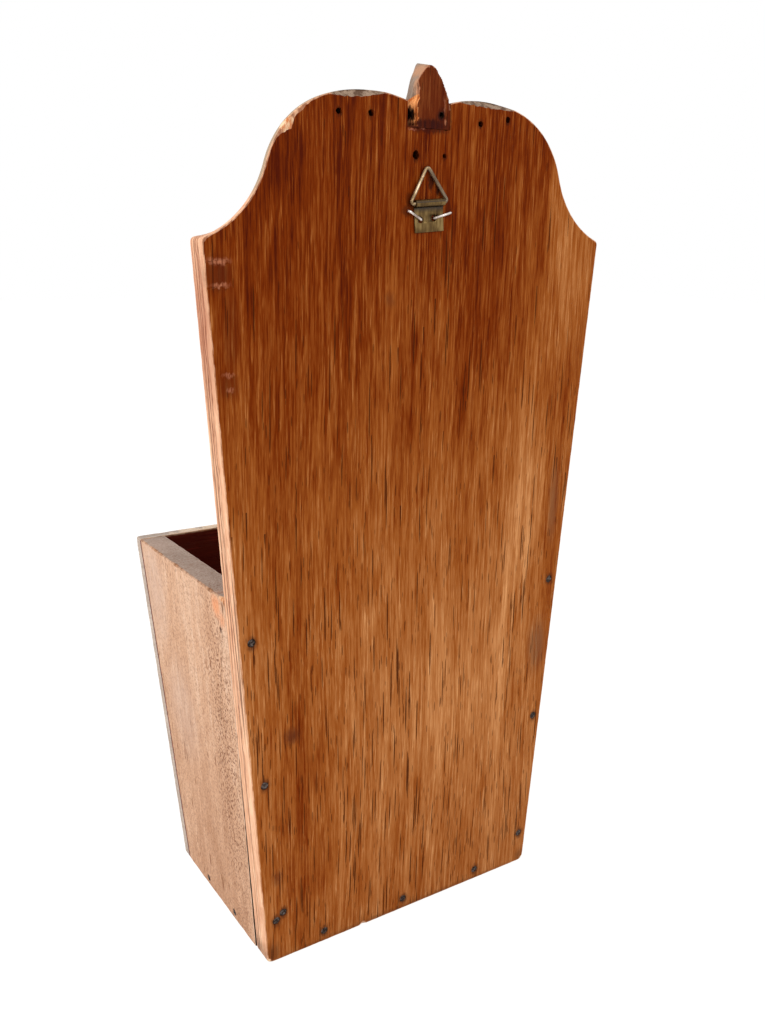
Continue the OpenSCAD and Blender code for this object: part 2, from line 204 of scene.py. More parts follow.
def makeStudio(look):
    scene.world = bpy.data.worlds.new("softRoom")
    tree = emptyTree(scene.world)
    light = whiteForCamera(tree, look["worldLight"])
    put(tree, "OutputWorld", {0: put(tree, "Background", {"Color": white, "Strength": light})})
    makeLamp("key", look)
    makeLamp("fill", look)
    half, low = look["floorHalf"], -look["floorDrop"]
    mesh = bpy.data.meshes.new("floor")
    mesh.from_pydata([(-half, -half, low), (half, -half, low), (half, half, low), (-half, half, low)], [],
                     [(0, 1, 2, 3)])
    paper = bpy.data.materials.new("floorPaper")
    tree = emptyTree(paper)
    plain = put(tree, "BsdfDiffuse", {"Color": look["floorColour"]})
    glow = put(tree, "Emission", {"Color": white, "Strength": look["floorGlow"]})
    share = whiteForCamera(tree) * look["floorWhiten"]
    put(tree, "OutputMaterial", {0: put(tree, "MixShader", {0: share, 1: plain, 2: glow})})
    mesh.materials.append(paper)
    newObject("floor", mesh)


makeCamera(viewpoint)
makeStudio(studio)
scene.view_settings.view_transform = "Standard"
print("camera, light and floor are up")


# surfaces
def skin(name, rings, loopRows=False, marks=None):
    # Surface over rings[row, column]: quads join each ring to the next, and a flat face closes the
    # first and the last ring unless the rows run round in a loop
    rows, cols = rings.shape[:2]
    index = np.arange(rows * cols).reshape(rows, cols)
    around = np.vstack([index, index[:1]]) if loopRows else index
    beside = np.roll(around, -1, axis=1)
    quads = np.stack([around[:-1], beside[:-1], beside[1:], around[1:]], -1).reshape(-1, 4)
    caps = [] if loopRows else [index[0].tolist(), index[-1].tolist()]
    mesh = bpy.data.meshes.new(name)
    mesh.from_pydata(rings.reshape(-1, 3).tolist(), [], quads.tolist() + caps)
    smooth = np.arange(len(quads) + len(caps)) < len(quads)
    mesh.polygons.foreach_set("use_smooth", smooth)
    for key, values in (marks or {}).items():
        mesh.attributes.new(key, "FLOAT", "POINT").data.foreach_set(
            "value", np.broadcast_to(values, (rows, cols)).astype(np.float32).ravel())
    reshape(mesh, lambda work: bmesh.ops.recalc_face_normals(work, faces=work.faces))
    return newObject(name, mesh)


def reshape(mesh, change):
    work = bmesh.new()
    work.from_mesh(mesh)
    change(work)
    work.to_mesh(mesh)
    work.free()


def joined(name, parts):
    # one object out of several, which are taken up
    mesh = bpy.data.meshes.new(name)
    reshape(mesh, lambda work: [work.from_mesh(part.data) for part in parts])
    for part in parts:
        bpy.data.objects.remove(part)
    return newObject(name, mesh)


def cutAway(piece, cutters):
    # takes the cutters out of the piece for good
    for cutter in cutters:
        less = piece.modifiers.new("less", "BOOLEAN")
        less.operation = "DIFFERENCE"
        less.solver = "EXACT"
        less.object = cutter
    solid = piece.evaluated_get(bpy.context.evaluated_depsgraph_get())
    mesh = bpy.data.meshes.new_from_object(solid)
    piece.modifiers.clear()
    old = piece.data
    piece.data = mesh
    bpy.data.meshes.remove(old)
    mesh.name = piece.name
    for cutter in cutters:
        bpy.data.objects.remove(cutter)


def ripple(count, waves, seed):
    # closed wavy line of count values about 0: cosines with whole numbers of waves and chance phases
    chance = np.random.default_rng(seed)
    turns = np.arange(count) / count * 2 * np.pi
    number = np.unique(chance.integers(waves[0], waves[1] + 1, 14))
    size = chance.uniform(0.4, 1.0, len(number))
    phase = chance.uniform(0, 2 * np.pi, len(number))
    line = (size[:, None] * np.cos(number[:, None] * turns + phase[:, None])).sum(0)
    return line / np.sqrt((size ** 2).sum())


def lengthAlong(points):
    return np.r_[0, np.cumsum(np.linalg.norm(np.diff(points, axis=0), axis=1))]


def evenLoop(corners, step):
    # closed outline resampled at even steps along its length; a third column is carried along
    closed = np.vstack([corners, corners[:1]])
    length = lengthAlong(closed[:, :2])
    at = np.linspace(0, length[-1], max(8, round(length[-1] / step)), endpoint=False)
    return np.stack([np.interp(at, length, c) for c in closed.T], 1)


def roundCorners(loop, reach=1):
    # each point becomes the weighted mean of its neighbours, which rounds the corners
    weights = np.hanning(2 * reach + 3)[1:-1]
    weights /= weights.sum()
    padded = np.pad(loop, ((reach, reach), (0, 0)), mode="wrap")
    return np.stack([np.convolve(c, weights, "valid") for c in padded.T], 1)


def inward(loop):
    # unit normals of a closed outline, pointing into it
    way = np.roll(loop, -1, axis=0) - np.roll(loop, 1, axis=0)
    way /= np.linalg.norm(way, axis=1)[:, None]
    x, y = loop.T
    area = (x * np.roll(y, -1) - np.roll(x, -1) * y).sum()
    return np.sign(area) * np.stack([-way[:, 1], way[:, 0]], 1)


def hump(loop, x, h, wide):
    # 1 at the point x, h of an outline, dying away over the width as a bell curve does
    return np.exp(-((loop[:, 0] - x) ** 2 + (loop[:, 1] - h) ** 2) / wide ** 2)


def softCorner(corner, before, after, share, flatness=0.0):
    # quadratic bend from corner + before to corner + after, share running from 0 to 1; it turns
    # into the straight line between them as flatness goes to 1
    pull = corner + flatness * (before + after) / 2
    rest = 1 - share
    return rest ** 2 * (corner + before) + 2 * share * rest * pull + share ** 2 * (corner + after)


def boardRings(loop, thick, backRound, frontRound, backDeep=None, bevel=0.0, land=0.0, flatness=0.0):
    # Profile carried round the outline: rounded back arris, square edge, optional bevel that starts
    # at depth land, rounded front arris. Gives inset and depth, [row, column], rows from back to front
    zero = np.zeros(len(loop))
    backRound, frontRound, bevel, flatness = (v + zero for v in (backRound, frontRound, bevel, flatness))
    backDeep = backRound if backDeep is None else backDeep + zero
    share = np.array([0, 0.04, 0.22, 0.41, 0.59, 0.78, 0.96, 1])[:, None, None]
    steps = len(share)
    slope = np.stack([bevel, (thick - land) + zero], -1)
    slope /= np.linalg.norm(slope, axis=-1)[..., None]
    flat = np.stack([zero + 1, zero], -1)
    deep = np.stack([zero, zero + 1], -1)
    back = softCorner(0 * flat, flat * backRound[:, None], deep * backDeep[:, None], share, flatness[:, None])
    front = softCorner(np.stack([bevel, zero + thick], -1), -slope * frontRound[:, None],
                       flat * frontRound[:, None], share)
    if land > 0:
        middle = softCorner(deep * land, -deep * 0.3, slope * 0.5, share[::2])
    else:
        middle = (back[-1:] + front[:1]) / 2
    rings = np.vstack([back, middle, front])
    row = np.arange(len(rings))[:, None]
    last = len(rings) - 1
    arris = (row > 0) & (row < steps - 1) | (row > last - steps + 1) & (row < last)
    edge = (row >= steps - 3) & (row <= last - steps + 3)
    return rings[..., 0], rings[..., 1], {"arris": arris, "edge": edge}


def boardSkin(name, loop, toBoard, thick, marks=None, **edges):
    # marks are values per outline point, laid on the back arris and left off the flat face
    inset, deep, given = boardRings(loop, thick, **edges)
    points = loop[None] + inward(loop)[None] * inset[..., None]
    x, h, d = toBoard(points[..., 0], points[..., 1], deep)
    onArris = np.zeros((len(inset), 1))
    onArris[1:7] = 1
    given |= {key: onArris * values for key, values in (marks or {}).items()}
    return skin(name, toFrame(x, h, d), marks=given)


def tubeRings(path, radius, flat, sides, closed=False):
    # round section carried along a path that lies in the plane square to flat
    way = np.roll(path, -1, axis=0) - np.roll(path, 1, axis=0) if closed else np.gradient(path, axis=0)
    way /= np.linalg.norm(way, axis=1)[:, None]
    beside = np.cross(way, flat)[:, None]
    angle = np.linspace(0, 2 * np.pi, sides, endpoint=False)[:, None]
    return path[:, None] + radius * (np.cos(angle) * np.array(flat, float) + np.sin(angle) * beside)


def bentPath(corners, radii, closed=False):
    # straight runs between corners with a round bend of its own radius at each
    corners = np.array(corners, float)
    count = len(corners)
    points = []
    for k, here in enumerate(corners):
        if not closed and k in (0, count - 1):
            points.append(here[None])
            continue
        a = corners[k - 1] - here
        b = corners[(k + 1) % count] - here
        a /= np.linalg.norm(a)
        b /= np.linalg.norm(b)
        half = np.arccos(np.clip(a @ b, -1, 1)) / 2
        middle = (a + b) / np.linalg.norm(a + b)
        centre = here + middle * radii[k] / np.sin(half)
        across = (b - a) / np.linalg.norm(b - a)
        turn = np.linspace(-(np.pi / 2 - half), np.pi / 2 - half, 9)[:, None]
        points.append(centre + radii[k] * (-middle * np.cos(turn) + across * np.sin(turn)))
    return np.vstack(points)


def along(path, step, closed=False):
    # the path with extra points so that none is more than a step from the next
    if closed:
        path = np.vstack([path, path[:1]])
    length = lengthAlong(path)
    at = np.unique(np.r_[length, np.arange(0, length[-1], step)])
    at = at[np.r_[True, np.diff(at) > step / 5]]
    if closed:
        at = at[at < length[-1] - step / 5]
    return np.stack([np.interp(at, length, c) for c in path.T], 1)


def spun(profile, start, way, cols=20, uneven=0.0, seed=0):
    # profile of [radius, depth] turned about an axis from start along way, in board space x, h, d
    way = np.array(way, float) / np.linalg.norm(way)
    side = np.cross(way, (0, 0, 1) if abs(way[2]) < 0.9 else (0, 1, 0))
    side /= np.linalg.norm(side)
    other = np.cross(way, side)
    angle = np.linspace(0, 2 * np.pi, cols, endpoint=False)
    profile = np.array(profile, float)
    radius = profile[:, :1] * (1 + uneven * ripple(cols, (2, 5), seed))
    spoke = np.cos(angle)[:, None] * side + np.sin(angle)[:, None] * other
    points = np.array(start, float) + profile[:, 1, None, None] * way + radius[..., None] * spoke[None]
    return toFrame(*np.moveaxis(points, -1, 0))


# node groups that several materials share
def newGroup(name, inputs):
    # inputs by name: a number has its usual value, a vector has None
    tree = bpy.data.node_groups.new(name, "ShaderNodeTree")
    for label, value in inputs.items():
        kind = "NodeSocketVector" if value is None else "NodeSocketFloat"
        socket = tree.interface.new_socket(label, in_out="INPUT", socket_type=kind)
        if value is not None:
            socket.default_value = value
    return tree, [Wire(socket) for socket in tree.nodes.new("NodeGroupInput").outputs[:len(inputs)]]


def closeGroup(tree, results):
    for label in results:
        tree.interface.new_socket(label, in_out="OUTPUT", socket_type="NodeSocketFloat")
    end = tree.nodes.new("NodeGroupOutput").inputs
    for label, value in results.items():
        feed(end[label], value)
    return tree


def makeSpotGroup():
    # soft oval spot: 1 inside core times its radii, fading to 0 at its radii
    inputs = {"Vector": None, "Centre": None, "Shrink": None, "Core": 0.3}
    tree, (place, centre, shrink, core) = newGroup("softSpot", inputs)
    off = vectorMath("MULTIPLY", vectorMath("SUBTRACT", place, centre), shrink)
    far = vectorMath("LENGTH", off, (0, 0, 0), "Value")
    return closeGroup(tree, {"Mask": fade(far, core, 1.0, 1.0, 0.0)})


oakGrain = {                                    # fineness across, through and along the grain, per metre
    "wander": (14, 14, 5), "wanderReach": (0.007, 0.007, 0.0), "bands": (75, 40, 2.0),
    "mottle": (120, 80, 34), "streaks": (380, 160, 8), "fibres": (1000, 480, 46), "specks": (1100, 1000, 760),
    "edgeLines": (20, 250, 1.7), "lines": (620, 260, 11), "longPores": (1250, 500, 34), "longReach": 0.38,
    "shortPores": (1800, 850, 160), "shortReach": 0.40, "shortShift": 5.0, "shortDepth": 0.75,
}


def makeOakGroup(look):
    # plain-sawn oak with its grain along the third axis of Vector: broad bands of growth, fine
    # fibres, thin lines, long dark pores, short ones and specks
    inputs = {"Vector": None, "Seed": 0.0, "Pores": 0.4, "Short Pores": 0.3}
    tree, (place, seed, poreShare, shortShare) = newGroup("oakGrain", inputs)
    place = vectorMath("ADD", place, put(tree, "CombineXYZ", {0: seed, 1: seed}))
    place = shaken(place, look["wander"], look["wanderReach"], 1.0)
    bands = cloud(place, look["bands"])
    mottle = cloud(place, look["mottle"], 3.0, 0.6)
    streaks = cloud(place, look["streaks"], 2.5, 0.6)
    fibres = cloud(place, look["fibres"], 3.0, 0.75)
    specks = fade(cloud(place, look["specks"], 2.0, 0.6), 0.49, 0.62)

    def contour(noise, low, high):
        # thin line where the noise passes its middle
        return fade((noise - 0.5).calc("ABSOLUTE"), low, high, 1.0, 0.0)

    edgeLines = contour(cloud(place, look["edgeLines"], 1.0), 0.008, 0.034)
    lines = contour(cloud(place, look["lines"], 2.5, 0.6), 0.0, 0.022) * fade(fibres, 0.42, 0.58)
    ragged = fade(fibres, 0.3, 0.7, -0.07, 0.07)

    def dashes(scale, reach, share, shift=0.0):
        # one dash in some of the cells, thinner and shorter where the cell's middle lies deeper
        cell, far = put(tree, "TexVoronoi", {"Vector": stretch(place, scale, (shift, 0, 0)), "Scale": 1.0,
                                             "Randomness": 1.0}, ("Color", "Distance"), feature="F1")
        pick, big = put(tree, "SeparateColor", {0: cell}, (0, 1))
        near = fade(big, 0.0, 1.0, reach * 0.5, reach * 1.2) - (far + ragged)
        return fade(near, 0.0, 0.08) * pick.calc("LESS_THAN", share)

    longPores = dashes(look["longPores"], look["longReach"], poreShare)
    shortPores = dashes(look["shortPores"], look["shortReach"], shortShare, look["shortShift"])
    pores = longPores.calc("MAXIMUM", shortPores * look["shortDepth"])
    height = fibres * 0.6 - pores + streaks * 0.35 + lines * 0.3
    results = (bands, mottle, streaks, fibres, lines, edgeLines, pores, specks, height)
    return closeGroup(tree, dict(zip(grainOutputs, results)))


grainOutputs = ("Bands", "Mottle", "Streaks", "Fibres", "Lines", "Edge Lines", "Pores", "Specks", "Height")
spotGroup = makeSpotGroup()
oakGroup = makeOakGroup(oakGrain)


def spots(place, ovals, core=0.3):
    # one mask out of several oval spots, each [x, y, z, radius x, radius y, radius z, strength] in mm
    mask = None
    for *centre, a, b, c, strength in ovals:
        one = put(place.tree, "Group", {"Vector": place, "Centre": [v * mm for v in centre],
                                        "Shrink": [1 / (r * mm) for r in (a, b, c)], "Core": core},
                  node_tree=spotGroup) * strength
        mask = mask.calc("MAXIMUM", one) if mask else one
    return mask


def newPaint(name):
    paint = bpy.data.materials.new(name)
    tree = emptyTree(paint)
    return paint, tree, put(tree, "TexCoord", None, "Object")


def closePaint(paint, tree, look, inputs):
    shader = put(tree, "BsdfPrincipled", inputs | {"Specular IOR Level": look["shine"]})
    put(tree, "OutputMaterial", {0: shader})
    return paint


def attribute(tree, name):
    return put(tree, "Attribute", None, "Fac", attribute_name=name, attribute_type="GEOMETRY")


def rampOf(value, stops):
    node = value.tree.nodes.new("ShaderNodeValToRGB")
    feed(node.inputs[0], value)
    elements = node.color_ramp.elements
    while len(elements) < len(stops):
        elements.new(0.5)
    for element, (at, rgb) in zip(elements, stops):
        element.position = at
        element.color = linear(*rgb)
    return Wire(node.outputs[0])


def beyond(place, planes):
    # 1 on the far side of all the planes, each given as normal, offset and softness in mm
    return math.prod(fade(vectorMath("DOT_PRODUCT", place, normal, "Value"), at * mm, (at + soft) * mm)
                     for normal, at, soft in planes)


# what the oak looks share; each piece adds its own. Colours are 0 to 255, places are mm in the row frame
plainOak = {
    "nearScale": (900, 900, 420), "nearReach": (0.003, 0.003, 0.0036), "raggedScale": (260, 260, 90),
    "patchScale": (500, 500, 160), "sawScale": (35, 35, 620), "relief": 0.00022, "speckFloor": 0.55,
    "grainAcross": False, "poresFrom": 400.0, "poresTo": 0.0, "wearAcross": 0.0, "specks": 0.0,
    "shiver": (0.004, 0.004, 0.008), "wearSpots": [], "speckSpots": [], "edgeStains": [], "stainsAndShade": [],
    "shadeSpots": [], "insideShade": [], "rubColours": ((120, 110, 100), (150, 140, 130)),
    "bareColours": ((206, 150, 100), (236, 208, 170)),
}


def oakPaint(name, look):
    # Old stained oak. One value, from dark stain to bare pale wood, runs through a row of colours and
    # takes up the bands, streaks and fibres; pores, stains, worn arrises and broken wood come on top,
    # then painted shade: near black down holes and voids, and dark red on the faces inside the box
    paint, tree, here = newPaint(name)
    x, y, z = put(tree, "SeparateXYZ", {0: here}, (0, 1, 2))
    grainPlace = put(tree, "CombineXYZ", {0: z, 1: y, 2: x}) if look["grainAcross"] else here
    bothSides = put(tree, "CombineXYZ", {0: x.calc("ABSOLUTE"), 1: y, 2: z})
    raggedHere = shaken(here, look["raggedScale"], look["shiver"])
    nearHere = shaken(here, look["nearScale"], look["nearReach"])

    openness = fade(z, look["poresFrom"] * mm, look["poresTo"] * mm, *look["pores"])
    inputs = {"Vector": grainPlace, "Seed": look["seed"], "Pores": openness,
              "Short Pores": openness * look["shortPores"]}
    grain = dict(zip(grainOutputs, put(tree, "Group", inputs, grainOutputs, node_tree=oakGroup)))
    figure = sum((grain[key] - 0.5) * look[key.lower()] for key in grainOutputs[:4])
    figure += grain["Lines"] * look["lines"]
    (high, atHigh), (low, atLow) = look["wearFrom"], look["wearTo"]
    wear = fade(z, high * mm, low * mm, atHigh, atLow) + x * (look["wearAcross"] / mm / 100)
    for ovals, amount in look["wearSpots"]:
        wear += spots(raggedHere, ovals, 0.1) * amount
    colour = rampOf(wear + figure, look["colours"])
    colour = blendColour(grain["Pores"] * look["poreDark"], colour, look["poreColour"])
    edgeColour = rampOf(figure + 0.5, look["edgeColours"])
    edgeColour = blendColour(grain["Edge Lines"] * look["edgeLines"], edgeColour, look["poreColour"])
    for ovals, rgb, core in look["edgeStains"]:
        edgeColour = blendColour(spots(raggedHere, ovals, core), edgeColour, rgb)
    colour = blendColour(attribute(tree, "edge"), colour, edgeColour)
    specks = grain["Specks"] * look["specks"]
    if look["speckSpots"]:
        specks *= spots(raggedHere, look["speckSpots"], 0.1) + look["speckFloor"]
    colour = blendColour(specks, colour, look["poreColour"])
    # real stains, and painted shade where an entry puts near black down a hole or a joint
    for ovals, rgb, core, uneven in look["stainsAndShade"]:
        through = fade(grain["Fibres"], 0.4, 0.58, 1 - uneven, 1.0)
        colour = blendColour(spots(nearHere, ovals, core) * through, colour, rgb)

    patchy = cloud(here, look["patchScale"], 3.0)
    arris = attribute(tree, "arris") * fade(patchy, 0.38, 0.6, *look["arrisWear"])
    colour = blendColour(arris, colour, look["arrisColour"])
    rubbed = blendColour(fade(patchy, 0.36, 0.62), *look["rubColours"])
    colour = blendColour(attribute(tree, "rubbed"), colour, rubbed)
    bareColour = blendColour(fade(patchy, 0.4, 0.6), *look["bareColours"])
    bare = attribute(tree, "bare") + fade(patchy, 0.3, 0.7, -0.15, 0.15)
    colour = blendColour(fade(bare, 0.25, 0.6), colour, bareColour)
    # painted shade: spots of dark colour where the finial's break and void lie in shade
    for ovals, rgb, core in look["shadeSpots"]:
        colour = blendColour(spots(nearHere, ovals, core), colour, rgb)
    # painted shade on the faces inside the box and in closed joints, with saw marks through it
    sawn = fade(cloud(here, look["sawScale"]), 0.55, 0.72)
    for planes, rgb, strength in look["insideShade"]:
        inside = blendColour(sawn, rgb, [round(c * 1.3) + 22 for c in rgb])
        colour = blendColour(beyond(bothSides, planes) * strength, colour, inside)

    rough = grain["Pores"] * 0.35 + fade(patchy, 0.2, 0.8, look["rough"] - 0.06, look["rough"] + 0.08)
    height = grain["Height"] + patchy * 0.4 - specks * 0.5
    bump = put(tree, "Bump", {"Height": height, "Distance": look["relief"], "Strength": look["bump"]})
    return closePaint(paint, tree, look, {"Base Color": colour, "Roughness": rough, "Normal": bump})


def metalPaint(name, look):
    # old metal: colour wandering between clean and dull, fine scratches, and painted shade, a darker and less
    # metallic colour, where the mark hollow is set
    paint, tree, here = newPaint(name)
    broad = cloud(here, [look["patch"]] * 3)
    fine = cloud(here, look["scratch"], 2.0, 0.7)
    value = broad * 0.65 + fine * 0.35
    low = attribute(tree, "hollow")
    colour = blendColour(low, rampOf(fade(value, 0.3, 0.7), look["colours"]), look["shadeColour"])
    rough = fade(value, 0.3, 0.7, *look["rough"])
    metal = fade(low, 0.0, 1.0, look["metal"], look["metal"] * 0.3)
    bump = put(tree, "Bump", {"Height": fine + broad, "Distance": 0.00006, "Strength": look["bump"]})
    return closePaint(paint, tree, look, {"Base Color": colour, "Roughness": rough, "Metallic": metal,
                                          "Normal": bump})


def finish(piece, node, paint, body="box"):
    piece.data.materials.clear()
    piece.data.materials.append(paint)
    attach(piece, body)
    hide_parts(node)


print("surfaces and node groups are ready")

# sizes that several pieces follow, in mm
box = {
    "shoulderWidth": 200.0, "footWidth": 156.0, "shoulderHeight": 330.0, "backThick": 12.0,
    "rimDepth": 110.0, "baseDepth": 90.0, "rimHeight": 182.0, "rimFall": 2.0,
    "sideThick": 13.0, "frontThick": 6.5, "bottomThick": 11.0, "jointGap": 1.2, "jointGapHeight": 95.0,
}
taper = (box["shoulderWidth"] - box["footWidth"]) / 2 / box["shoulderHeight"]
sideRun = box["sideThick"] * math.hypot(1, taper)
rimFrontHeight = box["rimHeight"] - box["rimFall"]
lean = (box["rimDepth"] - box["baseDepth"]) / rimFrontHeight
frontRun = box["frontThick"] * math.hypot(1, lean)


def sideOut(h):
    return box["footWidth"] / 2 + taper * h


def sideMiddle(h):
    return sideOut(h) - sideRun / 2


def frontOut(h):
    return box["backThick"] + box["baseDepth"] + lean * h


# nails, with where each is driven as start and direction in board space
nails = {
    "headWidth": 3.8, "headThick": 0.8, "width": 2.0, "point": 5.0, "length": 32.0, "frontLength": 26.0,
    "room": 0.05, "above": 1.2, "sunk": 0.18, "sides": 20, "uneven": 0.03, "holeUneven": 0.035,
    # heights in the back and the front, then places across and along the bottom board
    "back": (22.0, 93.5, 165.0), "front": (22.0, 93.5, 163.0),
    "bottomAt": (-44.5, 1.5, 47.5), "bottomUp": 5.5, "sideUp": 4.0, "sideAt": (37.0, 69.0),
}
low, middle, high = nails["back"]
backNails = {
    "nails_back_to_left_side": [(sideMiddle(high) + 0.75, high), (sideMiddle(middle) + 0.5, middle + 1.5),
                                (sideMiddle(low) + 0.375, low), (sideMiddle(low) - 3.2, low + 3.2)],
    "nails_back_to_right_side": [(-sideMiddle(h) - 1.5, h - down) for h, down in
                                 ((high, 1.5), (middle, 6), (low, 4.5))],
    "nails_back_to_bottom": [(x, nails["bottomUp"]) for x in nails["bottomAt"]],
}
driven = {name: [((x, h, 0.0), (0, 0, 1)) for x, h in places] for name, places in backNails.items()}
frontPlaces = {"bottom": backNails["nails_back_to_bottom"]}
for side, sign in (("left", 1), ("right", -1)):
    frontPlaces[side + "_side"] = [(sign * sideMiddle(h), h) for h in nails["front"]]
    x, h = sign * sideOut(nails["bottomUp"]), nails["sideUp"]
    driven[f"nails_{side}_side_to_bottom"] = [((x, h, d), (-sign, 0, 0)) for d in nails["sideAt"]]
for to, places in frontPlaces.items():
    driven["nails_front_to_" + to] = [((x, h, frontOut(h)), (0, -lean, -1)) for x, h in places]


def nailSkins(name, seed, room=0.0, above=0.0):
    # Nails of one group, turned from a profile of [radius, depth] that runs from the head's crown to
    # the point. With room they are plain and a little larger, to cut the holes with
    length = nails["frontLength"] if "front" in name else nails["length"]
    head, shank = nails["headWidth"] / 2 + room, nails["width"] / 2 + room
    top, thick, point = nails["sunk"] - above, nails["headThick"] + room, nails["point"]
    crown = [(head * 0.5, top), (head * 0.85, top + 0.06), (head * 0.97, top + 0.2)]
    profile = ([(head, top)] if room else crown) + [
        (head, thick - 0.1), (head * 0.9, thick), (shank, thick + 0.25), (shank, length - point),
        (shank * 0.6, length - point * 0.4), (0.2 + room, length + room)]
    uneven = nails["holeUneven" if room else "uneven"]
    return [skin("nail", spun(profile, start, way, nails["sides"], uneven, seed + k))
            for k, (start, way) in enumerate(driven[name])]


def nailCutters(names, seed):
    return joined("nailHoles", [nail for name in names
                                for nail in nailSkins(name, seed, nails["room"], nails["above"])])


def makeNails(paint):
    for number, name in enumerate(sorted(driven)):
        piece = joined(name + "_iron", nailSkins(name, 40 + 7 * number))
        piece.data.set_sharp_from_angle(angle=math.radians(40))
        finish(piece, name, paint)


def hole(profile, x, h, uneven, seed, sides=20):
    # cutter of [radius, depth] driven in from the back face
    return skin("hole", spun(profile, (x, h, 0), (0, 0, 1), sides, uneven, seed))


# backboard
backboard = {
    "humpX": 28.0, "humpRise": 56.5, "topArc": 64.0, "sideArc": 38.0, "arcTurn": 20.0, "coveArc": 42.0,
    "land": 2.0, "bevel": 6.0, "bevelFade": 24.0, "arris": 0.5, "frontArris": 0.9, "step": 1.0,
    "notchFrom": -11.3, "notchTo": 10.1, "notchFloor": 374.0,
    # chips of the back arris as [x, h, reach along the edge, into the face, into the edge]
    "chips": [(63.6, 371.0, 4.3, 3.4, 1.9), (57.5, 377.0, 3.2, 1.0, 0.9), (77.6, 0.6, 1.6, 1.5, 1.2),
              (-77.6, 0.6, 1.6, 1.3, 1.1), (99.5, 329.8, 1.4, 0.5, 0.6)],
    "nicks": [(25.5, 0.5, 1.2, 2.4, 1.8)],      # the same, but as old and dark as the face
    # flats rubbed on the humps as [from x, to x, drop down the face, depth into the edge]
    "rubs": [(21.0, 46.0, 2.3, 2.3), (-16.0, -45.5, 2.0, 2.4)],
    "emptyHoles": [(42.0, 377.7, 1.2), (27.4, 378.0, 1.2), (-27.3, 377.4, 1.2), (-41.9, 380.0, 1.2),
                   (5.5, 363.5, 1.6), (-8.9, 363.8, 0.9)],
    # hollows in the face as [x, h, half width, half height, depth]
    "dents": [(93.6, 321.3, 6.3, 1.2, 0.5), (93.6, 311.8, 6.0, 0.9, 0.4), (89.6, 278.4, 3.5, 0.9, 0.4),
              (89.3, 273.0, 2.6, 1.2, 0.35)],
}


def onBack(*ovals, deep=8):
    # spots on the back face, given as [x, z, radius x, radius z, strength]
    return [(x, 59, z, a, deep, c, strength) for x, z, a, c, strength in ovals]


